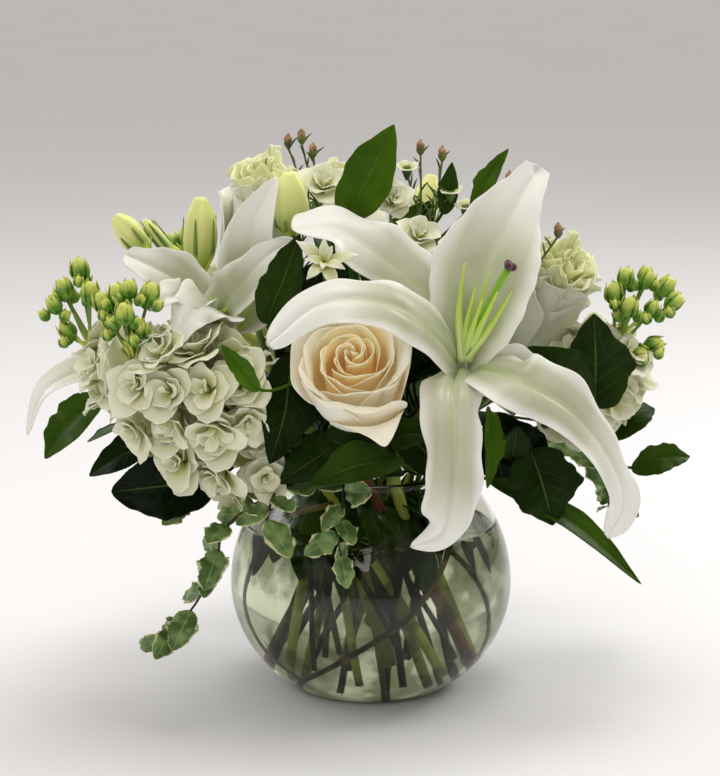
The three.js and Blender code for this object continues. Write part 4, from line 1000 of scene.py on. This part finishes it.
# How thick a head and the core inside it are from foot to tip, and how a bud swells
HEAD_SHARES = [0.65, 1, 1, 0.9, 0.5]
CORE_SHARES = [0.325, 0.5, 0.45, 0.25]
STOCK_BUD_SHARES = [0.45, 0.85, 0.8, 0.35]
STOCK_STALK = 2.3
STOCK_BRANCH = 0.9
SIDE_BUD = 2.6
STOCKS = [
    ("stock_1", [-52, -66, 132], [-134, -72, 188], [-152, -70, 222], 12, 17, (0, 14),
     [[-144, -70, 238], [-151, -72, 229], [-156, -74, 221], [-138, -80, 228], [-150, -72, 208]]),
    ("stock_2", [-60, -84, 168], [-114, -98, 194], [-121, -100, 222], 9, 15, (1, 9),
     [[-129, -100, 226], [-122, -104, 231], [-116, -106, 234], [-107, -104, 231], [-125, -104, 217],
      [-111, -108, 215], [-118, -112, 223]]),
    ("stock_3", [104, -18, 148], [124, -24, 188], [141, -28, 222], 8, 14, (0, 4),
     [[124, -30, 220], [130, -28, 228], [140, -26, 229], [150, -26, 223], [154, -30, 216],
      [143, -32, 213], [131, -36, 214], [144, -32, 195], [137, -34, 192]]),
    ("stock_4", [-56, 60, 158], [-92, 84, 196], [-110, 92, 226], 8, 16, (0, 9),
     [[-104, 92, 232], [-112, 98, 228], [-118, 92, 222], [-108, 84, 224], [-102, 98, 222]]),
]


def floret(shape, at, look, seed, size):
    """A double floret: loose round petals about a crumpled heart."""
    rosette(shape, pose(at, look, 40 * seed), FLORET_FORMS, count=11, ease=0.75, seed=seed + 1, rows=8,
            cols=11, wild=0.55, size=size)


def stock_bud(shape, at, way, size, seed):
    """A green bud, a little longer than wide, held by four sepals that end in pale tips."""
    way = unit(way)
    at = np.asarray(at, float)
    foot = at - way * size
    outline = [size * share for share in STOCK_BUD_SHARES]
    bud(shape, foot, way, size * 2.4, outline, flutes=(4, 0.12, 1.0))
    place = pose(foot, way, 70 * seed)
    for k in range(4):
        out = round_point(90 * k, 1, 0)
        knees = [(0.35, 0), (1.0, 0.7), (1.0, 1.6), (0.7, 2.7)]
        spine = place(np.array([out * size * share + UP * size * z for share, z in knees]))
        half = [size * 0.3, size * 0.6, size * 0.5, 0.2]
        blade(shape, spine, half, place(out) - foot, rows=7, cols=4, cup=-0.4, thick=0.5)


def stock(name, foot, tip, crown, count, spread, where, buds):
    """Florets round a core, and a stalk that runs on to a crown of green buds."""
    foot, tip, crown = (np.array(p, float) for p in (foot, tip, crown))
    axis = tip - foot
    length = np.linalg.norm(axis)
    place = pose(foot, axis)
    head = Shape()
    roll = dice(count + spread)
    total = round(FINER_FLORETS * count)
    for k in range(total):
        t = (k + 0.5) / total
        plump = float(smooth(HEAD_SHARES, t))
        seat = round_point(k * GOLDEN, spread * plump * (0.9 if k % 2 else 1.02), length * t)
        look = place(round_point(k * GOLDEN, 1, 0.1 + 1.6 * t * t)) - foot
        sway = np.array([next(roll) - 0.5, next(roll) - 0.5, next(roll) - 0.3])
        floret(head, place(seat), unit(look) + 0.9 * sway, k, mix(*FLORET_SIZES, next(roll)))
    core = [spread * share for share in CORE_SHARES]
    bud(head, foot, axis, length, core, sides=10, tone=0.5)
    piece(f"{name}_bloom", head, STOCK_PETAL, "petal_white", f"{name}_florets")

    stalk = Shape()
    stem = Stem(*where, foot, axis)
    top = curve([foot, tip, mix(tip, crown, 0.3), crown], 16)
    path = np.concatenate([stem.path()[:-1], top])
    radii = np.concatenate([np.full(len(path) - 8, STOCK_STALK), np.linspace(2.1, 0.8, 8)])
    tube(stalk, path, radii)
    green = Shape()
    for k, spot in enumerate(buds):
        at = np.array(spot, float) - UP * BUD_DROP
        root = mix(tip, crown, 0.1 + 0.08 * (k % 5)) - UP * BUD_DROP
        branch = curve([root, mix(root, at, 0.6) - UP * 1.5, at], 8)
        tube(stalk, branch, STOCK_BRANCH, sides=6)
        stock_bud(green, at, at - root + UP * 6, 4.7 - 0.5 * (k % 3), k)
        for side in (0, 150):
            turn = GOLDEN * k + side
            stock_bud(green, at + round_point(turn, 5, -4.5), round_point(turn, 1, 1.4), SIDE_BUD, k)
    stock_bud(green, crown, crown - tip, size=4, seed=9)
    stalk_piece(name, stalk)
    piece(f"{name}_buds", green, CALYX_GREEN, "stem_green", f"{name}_stem")


# Small white star flowers between the large blooms: place, axis, petal forms, petals and size
STAR_STALK = 1.4
STAR_BRANCH = 0.9
STAR_CUP = [1, 2.2, 2.0, 1.2]
STARS = [
    ("stars_1", [-24, -44, 232], [0, -0.4, 1], (2, 4), [
        ([-23, -96, 240], [0, -0.8, 0.5], STAR_FORMS, 9, 0.85),
        ([-25, -34, 268], [0.1, -0.6, 0.8], FLORET_FORMS, 9, 0.8),
    ]),
    ("stars_2", [12, -30, 240], [0.1, -0.2, 1], (2, 1), [
        ([10, -42, 263], [0.05, -0.8, 0.6], FLORET_FORMS, 10, 0.72),
        ([22, -62, 247], [0.2, -0.7, 0.7], FLORET_FORMS, 9, 0.7),
    ]),
]


def stars(name, head, axis, where, flowers):
    """A stalk that branches to its flowers, each a piece of its own."""
    stalk = Shape()
    stem = Stem(*where, head, axis)
    tube(stalk, stem.path(), STAR_STALK, sides=8, tone=0.1)
    for k, (at, look, forms, count, size) in enumerate(flowers):
        end = np.array(at, float) - unit(look) * FLOWER_BACK
        root = stem.at(0.85)
        branch = curve([root, mix(root, end, 0.6) + UP * 4, end], 10)
        tube(stalk, branch, STAR_BRANCH, sides=8, tone=0.1)
        bud(stalk, end - unit(look) * 1.5, look, 6, STAR_CUP, sides=8)
        flower = Shape()
        rosette(flower, pose(at, look), forms, count, ease=0.8, seed=k + 2, cols=10, wild=0.3,
                size=size)
        piece(f"{name}_bloom_{k + 1}", flower, STOCK_PETAL, "petal_white", f"{name}_flower_{k + 1}")
    stalk_piece(name, stalk)


# Salal: leafy stems with broad leaves. on is a leaf's place on the stem, arch the rise of its back,
# start the point where its blade begins, and its tone runs from 0, dark, to 1, light green.
SALAL_STALK = 1.5
LEAF_STALK = 0.8


def ovate(t):
    """A leaf's outline: widest before the middle, drawn out to a point."""
    return t**0.55 * (1 - t) ** 0.9 * 2.3 * (1 - 0.06 * np.sin(9 * t))


def elliptic(t):
    """A leaf's outline: a long oval with a short blunt point."""
    return np.sin(math.pi * t**0.85) ** 0.7


def leaf(on, tip, half, face, arch, start=None, tone=0.1, outline=ovate):
    return {"on": on, "tip": tip, "half": half, "face": face, "arch": arch, "start": start,
            "tone": tone, "outline": outline}


SALAL = [
    ("salal_1", 2, 0, [-8, -52, 252], [0, -0.1, 1], [
        leaf(1, [11, -62, 305], 14.5, [-0.1, -1, 0.1], 2, [-11, -56, 258], 0.75),
        leaf(0.8, [26, -20, 262], 10, [0.3, -0.8, 0.5], 5, None, 0.5),
        leaf(0.7, [-30, -10, 262], 11, [-0.2, 0.2, 1], 5, None, 0.4),
        leaf(0.8, [41, -26, 283], 6, [0.2, -1, 0.1], 2, [36, -24, 256], 0.3),
        leaf(0.75, [68, -50, 292], 6, [-0.5, -1, 0.1], 2, [50, -44, 262], 0.7),
        leaf(0.6, [30, -14, 262], 14, [0, -1, 0.2], 3, [12, -24, 214], 0.1),
        leaf(0.6, [56, -18, 254], 15, [0.1, -1, 0.2], 3, [30, -24, 208], 0.15),
    ]),
    ("salal_2", 1, 0, [-30, -70, 184], [-0.6, -0.5, 0.6], [
        leaf(1, [-35, -86, 254], 11.5, [-0.2, -1, 0.1], 2, [-50, -90, 210], 0.2),
        leaf(0.95, [-50, -98, 142], 17, [0.5, -1, 0.1], 3, [-38, -76, 188], 0.05),
        leaf(0.9, [-14, -58, 246], 15, [0, -1, 0.1], 2, [-34, -62, 204], 0.1),
        leaf(0.97, [-72, -118, 205], 5.5, [-0.2, -1, 0.4], 2, [-54, -112, 182], 0.85),
        leaf(0.6, [-31, -118, 136], 13, [0, -0.7, 0.8], 3, [12, -100, 147], 0.28),
        leaf(0.5, [-46, -88, 130], 13, [0.1, -1, 0.4], 3, [-14, -70, 148], 0.1),
        leaf(0.55, [30, -104, 158], 10, [0.3, -0.9, 0.4], 3, [8, -78, 152], 0.2),
        leaf(0.7, [16, -96, 136], 13, [0.1, -1, 0.3], 3, [-24, -90, 156], 0.1),
        leaf(0.5, [42, -64, 126], 13, [0, -1, 0.3], 3, [14, -60, 152], 0.05),
    ]),
    ("salal_3", 0, 2, [78, -60, 150], [0.8, -0.5, 0.3], [
        leaf(0.35, [136, -76, 75], 9.5, [0.3, -0.6, 0.8], 9, [60, -56, 124], 0.45),
        leaf(1, [91, -74, 105], 20, [0.2, -1, 0.1], 3, [80, -68, 143], 0.1),
        leaf(0.6, [95, -58, 128], 14, [0.1, -1, 0.2], 3, [56, -60, 154], 0.0),
        leaf(0.55, [68, -50, 118], 14, [0, -1, 0.2], 3, [60, -52, 154], 0.0),
        leaf(0.75, [57, -90, 128], 8, [0.8, -0.8, 0], 2, [58, -80, 166], 0.6),
        leaf(0.9, [72, -84, 158], 9, [0.1, -0.9, 0.3], 2, [70, -72, 140], 0.1),
    ]),
    ("salal_4", 0, 3, [110, -44, 158], [0.8, -0.4, 0.5], [
        leaf(1, [112, -50, 209], 20, [0.2, -1, 0.2], 3, [112, -60, 162], 0.15),
        leaf(0.9, [77, -78, 197], 16, [-0.2, -1, 0.5], 4, [106, -64, 166], 0.15),
        leaf(0.75, [165, -32, 131], 9, [0.2, -0.8, 0.6], 6, [134, -36, 126], 0.4),
        leaf(0.7, [150, 0, 150], 10, [0.5, -0.3, 0.9], 6, [122, -20, 138], 0.3),
    ]),
    ("salal_5", 0, 13, [-104, -36, 148], [-0.9, -0.3, 0.3], [
        leaf(0.5, [-131, -68, 121], 16.5, [-0.1, -1, 0.2], 4, [-80, -56, 124], 0.0, elliptic),
        leaf(1, [-167, -46, 133], 14, [-0.6, -0.8, 0.5], 5, [-138, -40, 162], 0.5),
        leaf(0.8, [-145, -42, 123], 11, [-0.2, -0.8, 0.7], 4, [-112, -40, 140], 0.05),
        leaf(0.9, [-140, -6, 168], 12, [-0.5, 0, 0.9], 5, [-116, -22, 156], 0.3),
    ]),
]
# Each stem of the hidden sides has its place in the outer ring, an angle, and its leaves' swings
FANS = [("salal_6", 6, 124, [-26, -9, 8, 22]), ("salal_7", 8, 184, [-26, -9, 8, 22]),
        ("salal_8", 11, 260, [-22, -6, 8])]
# Leaves packed round the neck, in the water, and among the blooms: the angles on each stem
COLLARS = {"salal_1": [-12, 12], "salal_2": [-38, -62], "salal_3": [30, 50], "salal_4": [72, 92],
           "salal_5": [-84, -108], "salal_6": [115, 140], "salal_7": [165, 192], "salal_8": [215, 240]}


def collar_leaves(name):
    """For each angle of a stem, one leaf over the rim, two in the water and two among the blooms."""
    made = []
    for k, angle in enumerate(COLLARS[name]):
        tip = round_point(angle, 74 - 4 * k, 128 + 12 * k)
        start = round_point(angle, 36, 124 + 6 * k)
        made.append(leaf(0.12, tip, 14, round_point(angle, 0.5, 0.9), 7, start, 0.05))

        # The two leaves in the water get lighter green tones than the rest, as painted light for the
        # light that reaches them through the glass
        deep = (angle * 7) % 30
        tip = round_point(angle + 20, 50, 82 - deep)
        start = round_point(angle, 20, 108)
        made.append(leaf(0.02, tip, 11, round_point(angle + 40, 1, 0.2), 5, start, 0.6, elliptic))
        tip = round_point(angle - 14, 28, 46 + deep)
        start = round_point(angle, 17, 104)
        made.append(leaf(0.03, tip, 9, round_point(angle - 40, 1, 0.2), 3, start, 0.35, elliptic))

        for n, (reach, rise) in enumerate([(66, 168), (58, 200)]):
            turn = angle + 11 * n - 4
            tip = round_point(turn, reach, rise)
            start = round_point(turn, 0.4 * reach, rise - 34)
            made.append(leaf(0.2, tip, 15, round_point(turn, 1, 0.5), 5, start, 0.05))
    return made


def fan_leaves(angle_mid, swings):
    """Leaves of the hidden sides: a fan round one direction, high and low in turns."""
    roll = dice(angle_mid)
    made = []
    for k, swing in enumerate(swings):
        angle = angle_mid + swing
        high = k % 2 == 0
        reach = mix(146, 164, next(roll))
        rise = mix(168, 186, next(roll)) if high else mix(112, 124, next(roll))
        half = mix(13, 17, next(roll))
        start = round_point(angle, 104, 152 if high else 134)
        face = round_point(angle, 0.7, 0.8)
        on = 1 - 0.06 * k if high else 0.62
        tip = round_point(angle, reach, rise)
        made.append(leaf(on, tip, half, face, 7, start, 0.15 + 0.1 * (k % 3)))
    return made


def salal_blade(shape, stem, spec, seed, rows=54, cols=14):
    """One leaf on its stalk. The blade covers the last two thirds of the spine."""
    roll = dice(seed + 40)
    root = stem.at(spec["on"])
    tip = np.array(spec["tip"], float)
    start = mix(root, tip, 0.12) if spec["start"] is None else np.array(spec["start"], float)
    face = unit(spec["face"])
    middle = mix(start, tip, 0.5) + face * spec["arch"]
    spine = [root, start, middle, tip]
    stalk = Line(spine).at(np.linspace(0, 0.36, 8))
    tube(shape, stalk, LEAF_STALK, sides=6, tone=spec["tone"])
    half = spec["half"]
    blade(shape, spine, lambda t: half * spec["outline"](t), face, rows=rows, cols=cols,
          cup=0.18 + 0.16 * next(roll), hump=0.06, wave=0.06 + 0.06 * next(roll),
          waves=1.3 + next(roll), phase=6 * next(roll), thick=0.7, tone=spec["tone"], tip=0.02,
          valley=0.22, teeth=0.04, tooth=2.4, part=(1 / 3, 1))


def salal(name, ring, slot, head, axis, leaves, number):
    """A stem with its own leaves, and with the smaller ones that pack the neck."""
    spray = Shape()
    stem = Stem(ring, slot, head, axis)
    tube(spray, stem.path(), SALAL_STALK, sides=8, tone=0.6)
    for k, spec in enumerate(leaves):
        salal_blade(spray, stem, spec, 10 * number + k)
    for k, spec in enumerate(collar_leaves(name), len(leaves)):
        salal_blade(spray, stem, spec, 10 * number + k, rows=24, cols=8)
    piece(f"{name}_spray", spray, SALAL_LEAF, "leaf_dark", name)


# Variegated pittosporum: thin sprigs with small waved leaves in turns along them. Each sprig has
# routes, given by their points and a count of leaves.
PITTOSPORUM_STALK = 1.2
PITTOSPORUM = [
    ("pittosporum_1", 0, 15, [
        ([[-30, -62, 126], [-55, -78, 119], [-74, -82, 104], [-78, -82, 86], [-92, -84, 62],
          [-106, -86, 50]], 13),
        ([[-14, -56, 124], [-14, -86, 120], [-17, -92, 106], [-15, -92, 94]], 7),
        ([[-34, -60, 124], [-48, -84, 124], [-52, -92, 112]], 6),
    ]),
    ("pittosporum_2", 0, 5, [([[70, 20, 128], [104, 34, 124], [124, 40, 106], [134, 44, 86]], 12)]),
    ("pittosporum_3", 0, 10, [([[-52, 52, 128], [-82, 74, 120], [-96, 84, 100], [-104, 90, 78]], 12)]),
]


def pittosporum(name, ring, slot, routes):
    """A straight stem in the water, and sprigs that leave its neck over the rim."""
    sprig = Shape()
    base = Stem(ring, slot, [0, 0, 200], UP)
    roll = dice(slot)
    tube(sprig, base.low(), PITTOSPORUM_STALK, sides=8, tone=1.0)
    for route, count in routes:
        line = Line([base.neck] + route)
        tube(sprig, line.at(np.linspace(0, 1, 30)), np.linspace(1.1, 0.5, 30), sides=8, tone=1.0)
        for k in range(count):
            t = mix(0.3, 0.99, k / (count - 1))
            before, root = line.at([t - 0.02, t])
            ahead = unit(root - before)
            side = unit(np.cross(UP, ahead))
            swing = (1 if k % 2 else -1) * mix(0.7, 1.5, next(roll))
            way = unit(ahead + side * swing + UP * mix(-0.7, 0.6, next(roll)))
            long = mix(16, 25, next(roll))
            tip = root + way * long
            look = unit([mix(-0.5, 0.5, next(roll)), -0.8, mix(0.1, 0.9, next(roll))])
            middle = mix(root, tip, 0.5) + look * 1.5
            half = long * 0.3
            blade(sprig, [root, middle, tip], lambda s: half * elliptic(s), look, rows=20, cols=12,
                  cup=0.05, wave=0.17, waves=2.6, phase=k * 1.3, thick=0.6, tip=0.05, valley=0.2)
    piece(f"{name}_sprig", sprig, PITTOSPORUM_LEAF, "leaf_variegated", name)


# Waxflower: wiry sprays with needle leaves, round buds at the tips and a few small open cups. Each
# has its stem's ring and place in it, its head and axis, the ends of its buds and those of its cups.
WAXFLOWER_BRANCH = 0.6
NEEDLE_RADII = [0.4, 0.6, 0.45, 0.15]
CLOSED_CUP = [0.7, 1.8, 2.3, 2.2]
OPEN_CUP = [0.7, 1.8, 2.6, 2.9]
WAXFLOWER = [
    ("waxflower_1", 2, 3, [-30, -2, 268], [-0.2, 0, 1],
     [[-36, -4, 294], [-43, 2, 291], [-30, -8, 287]], [[-14, -14, 274]]),
    ("waxflower_2", 2, 2, [30, -20, 258], [0, -0.1, 1],
     [[25, -22, 290], [36, -24, 287]], [[18, -30, 280], [40, -28, 268]]),
    ("waxflower_3", 1, 2, [72, -24, 232], [0.2, -0.2, 1],
     [[94, -42, 250], [62, -14, 276], [71, -12, 273]], [[48, -26, 260]]),
    ("waxflower_4", 1, 6, [-42, 40, 240], [-0.2, 0.3, 1],
     [[-48, 46, 268], [-58, 50, 260]], [[-34, 44, 256]]),
]


def needles(shape, path, count, long, seed, first):
    """Needle leaves in turns along a stem."""
    roll = dice(seed)
    line = Line(path)
    for k in range(count):
        t = mix(first, 0.98, k / (count - 1))
        root = line.at([t])[0]
        out = round_point(k * GOLDEN + 40 * next(roll), 1, 0.9 + 0.5 * next(roll))
        goal = root + unit(out) * long * mix(0.7, 1.1, next(roll))
        radii = smooth(NEEDLE_RADII, np.linspace(0, 1, 5))
        tube(shape, curve([root, mix(root, goal, 0.5) + UP * 0.8, goal], 5), radii, sides=5)


def waxflower(name, ring, slot, head, axis, tips, cups):
    """A spray whose branches end in closed cups with a round bud, or in open cups with petals."""
    spray = Shape()
    stem = Stem(ring, slot, head, axis)
    stalk = stem.path()
    tube(spray, stalk, np.linspace(1.4, 0.9, len(stalk)), sides=8, tone=0.35)
    petals = Shape()
    for k, goal in enumerate(tips + cups):
        end = np.array(goal, float)
        root = stem.at(0.7 + 0.1 * (k % 4))
        path = [root, mix(root, end, 0.55) - UP * 2, end - UP * 3]
        tube(spray, curve(path, 12), WAXFLOWER_BRANCH, sides=6, tone=0.3)
        needles(spray, path, count=12, long=9, seed=7 * k + slot, first=0.05)
        if k < len(tips):
            bud(spray, end - UP * 4, UP, 4, CLOSED_CUP, sides=10, tone=0.15)
            ball(spray, end + UP * 1.2, 2.3, tone=1.0)
            ball(spray, end + UP * 3.5, 0.8, tone=1.0, sides=6)
        else:
            bud(spray, end - UP * 6, UP, 6.5, OPEN_CUP, sides=10)
            place = pose(end, [0, -0.35, 1], 60 * k)
            for n in range(5):
                petal(petals, place, CUP_FORM, 72 * n, phase=n, tone=0.6, rows=6, cols=8)
    upper = [stem.at(share) for share in (0.35, 0.6, 0.8, 1.0)]
    needles(spray, upper, count=34, long=12, seed=slot + 3, first=0.0)
    piece(f"{name}_spray", spray, WAXFLOWER_WOOD, "wax_green", name)
    piece(f"{name}_petals", petals, STOCK_PETAL, "petal_white", name)


# The bowl: an outline of two half ellipses with a thick lip, as in the solids, turned more finely
BOWL_RADIUS = 75
BELLY_Z = 57
LOWER_HEIGHT = 67
UPPER_HEIGHT = 74
BOWL_WALL = 3
BOWL_FLOOR = 6
RIM_Z = 116
LIP_RADIUS = 48
LIP_Z = 119
WATER_Z = 88
WATER_PRESS = 0.12
TURNED_SIDES = 96


def glass(z, inset=0.0):
    """The radius of the glass at a height, or of a surface that lies inset from it."""
    tall = (LOWER_HEIGHT if z < BELLY_Z else UPPER_HEIGHT) - inset
    return (BOWL_RADIUS - inset) * math.sqrt(max(0, 1 - ((z - BELLY_Z) / tall) ** 2))


def turned(shape, outline):
    """A closed body turned about the bowl's axis. The outline starts and ends on the axis."""
    sides = TURNED_SIDES
    outline = np.asarray(outline, float)
    ring = outline[1:-1]
    angle = 2 * math.pi * np.arange(sides) / sides
    points = np.stack([
        ring[:, :1] * np.sin(angle), -ring[:, :1] * np.cos(angle), np.repeat(ring[:, 1:], sides, 1)
    ], -1).reshape(-1, 3)
    ends = [[0, 0, outline[0, 1]], [0, 0, outline[-1, 1]]]
    marks = np.zeros((len(points) + 2, 4))
    shape.add(np.concatenate([points, ends]), *hoops(len(ring), sides), marks)


def bowl():
    """Foot, belly, lip, inner wall and floor, turned as one outline."""
    outer_z = BELLY_Z - LOWER_HEIGHT * np.cos(np.linspace(0.55, 1.57, 26))
    outer_z = np.concatenate([outer_z, np.linspace(BELLY_Z, RIM_Z - 1, 26)[1:]])
    outer = [[0, 0], [34, 0.0], [37.5, 0.15]] + [[glass(z), z] for z in outer_z if z > 0.6]
    lip = [[LIP_RADIUS - 0.4, RIM_Z + 1.2], [LIP_RADIUS, LIP_Z - 1.2], [LIP_RADIUS - 0.5, LIP_Z - 0.3],
           [LIP_RADIUS - 1.5, LIP_Z], [LIP_RADIUS - 2.4, LIP_Z - 0.4], [LIP_RADIUS - 3, LIP_Z - 1.4]]
    inner_z = np.linspace(RIM_Z - 2, 12, 44)
    inner = [[glass(z, BOWL_WALL), z] for z in inner_z]
    floor = [[47, 9.6], [42.5, 7.6], [37, 6.4], [30, BOWL_FLOOR], [0, BOWL_FLOOR]]
    shape = Shape()
    turned(shape, outer + lip + inner + floor)
    piece("bowl_glass", shape, BLOWN_GLASS, "glass", "bowl")


def water():
    """The water presses a little into the glass, so that no film of air shows between them."""
    wall = [[glass(z, BOWL_WALL) + WATER_PRESS, z] for z in np.linspace(12, WATER_Z + 1.2, 40)]
    bottom = BOWL_FLOOR - WATER_PRESS
    floor = [[0, bottom], [30, bottom], [37, 6.2], [42.6, 7.4], [47.1, 9.4]]
    edge = wall[-1][0]
    top = [[edge - 0.8, WATER_Z + 0.3], [edge - 3, WATER_Z], [20, WATER_Z], [0, WATER_Z]]
    shape = Shape()
    turned(shape, floor + wall + top)
    piece("bowl_water", shape, STILL_WATER, "water", "water")


# The coiled twig: three runs along the inside of the glass, as angles and heights
TWIG_RADIUS = 1.6
TWIG_GAP = 0.8
TWIG_RUNS = [
    [[-24, 108], [-48, 100], [-56, 88], [-62, 72], [-66, 52], [-60, 32], [-42, 15]],
    [[-42, 15], [-24, 24], [-5, 38], [14, 54], [28, 72], [38, 86], [48, 97], [54, 107]],
    [[38, 86], [47, 74], [56, 56], [62, 38], [66, 24], [92, 14]],
]


def coiled_twig():
    """Bark with faint knots, along runs that touch one another."""
    twig = Shape()
    for run in TWIG_RUNS:
        wall = [round_point(a, glass(z, BOWL_WALL) - TWIG_RADIUS - TWIG_GAP, z) for a, z in run]
        t = np.linspace(0, 1, 48)
        knots = 1 + 0.06 * np.sin(t * 37) + 0.05 * np.sin(t * 91)
        tube(twig, curve(wall, 48), TWIG_RADIUS * knots)
    piece("coiled_twig_bark", twig, TWIG_BARK, "twig_bark", "coiled_twig")


# Floor and light. Each lamp has a place in metres, a width, a height, a power in watts and a tint.
LAMPS = [
    ("right window", (1.2, 0.7, 1.1), 1.0, 0.5, 10, "ffffff"),
    ("left window", (-1.4, 0.5, 1.0), 1.2, 0.6, 5, "f6f8ff"),
    ("ceiling", (0.15, -0.1, 1.9), 1.2, 0.9, 13, "fffdf8"),
    ("front fill", (-0.4, -1.6, 1.15), 0.8, 0.8, 5, "fffaf2"),
]
LAMP_AIM = Vector((0, 0, 0.15))
TABLE_HALF_M = 30.0
# The studio's walls are dimmer in front of the table, towards -Y, than behind it
WALL_TINT = "fffaf3"
FRONT_WALL = 0.34
BACK_WALL = 0.66
FRONT_END = -0.9
BACK_END = 0.5


def studio():
    """A white table, walls that grow dimmer towards the front, and the lamps."""
    mesh = bpy.data.meshes.new("table")
    far = TABLE_HALF_M
    corners = [(-far, -far, 0), (far, -far, 0), (far, far, 0), (-far, far, 0)]
    mesh.from_pydata(corners, [], [(0, 1, 2, 3)])
    table = stand("table", mesh)
    table.data.materials.append(pale_table())
    world = bpy.data.worlds.new("studio")
    bpy.context.scene.world = world
    world.use_nodes = True
    tree = world.node_tree
    way = node(tree, "ShaderNodeTexCoord", {}).outputs["Generated"]
    depth = node(tree, "ShaderNodeSeparateXYZ", {0: way}).outputs[1]
    walls = {"Value": depth, "From Min": FRONT_END, "From Max": BACK_END, "To Min": FRONT_WALL,
             "To Max": BACK_WALL}
    shade = node(tree, "ShaderNodeMapRange", walls, interpolation_type="SMOOTHSTEP").outputs[0]
    feed(tree, tree.nodes["Background"], {"Color": WALL_TINT, "Strength": shade})
    bpy.context.scene.view_settings.view_transform = "Standard"
    for name, at, wide, high, power, tint in LAMPS:
        data = bpy.data.lights.new(name, "AREA")
        data.shape = "RECTANGLE"
        data.size = wide
        data.size_y = high
        data.energy = power
        data.color = hexa(tint)[:3]
        lamp = stand(name, data)
        lamp.location = at
        lamp.rotation_euler = (LAMP_AIM - Vector(at)).to_track_quat("-Z", "Y").to_euler()


# Finishes, then the studio and every piece of the bouquet
LILY_TEPAL = lily_tepal()
ROSE_PETAL = rose_petal()
LISIANTHUS_PETAL = lisianthus_petal()
STOCK_PETAL = stock_petal()
LIME_BUD = lime_bud()
STEM_SKIN = stem_skin()
CALYX_GREEN = calyx_green()
SALAL_LEAF = salal_leaf()
PITTOSPORUM_LEAF = pittosporum_leaf()
LILY_PISTIL = lily_pistil()
LILY_STIGMA = lily_stigma()
WAXFLOWER_WOOD = waxflower_wood()
TWIG_BARK = twig_bark()
BLOWN_GLASS = blown_glass()
STILL_WATER = still_water()

studio()
lily("lily_1", LILY_1)
lily("lily_2", LILY_2)
for bloom in ROSES:
    rose(*bloom)
for bloom in LISIANTHUS:
    lisianthus(*bloom)
for head in STOCKS:
    stock(*head)
for plant in STARS:
    stars(*plant)
for number, plant in enumerate(SALAL):
    salal(*plant, number)
for number, (name, slot, angle, swings) in enumerate(FANS):
    head = round_point(angle, 100, 154)
    axis = round_point(angle, 0.9, 0.4)
    salal(name, 0, slot, head, axis, fan_leaves(angle, swings), number + 5)
for plant in PITTOSPORUM:
    pittosporum(*plant)
for plant in WAXFLOWER:
    waxflower(*plant)
bowl()
water()
coiled_twig()
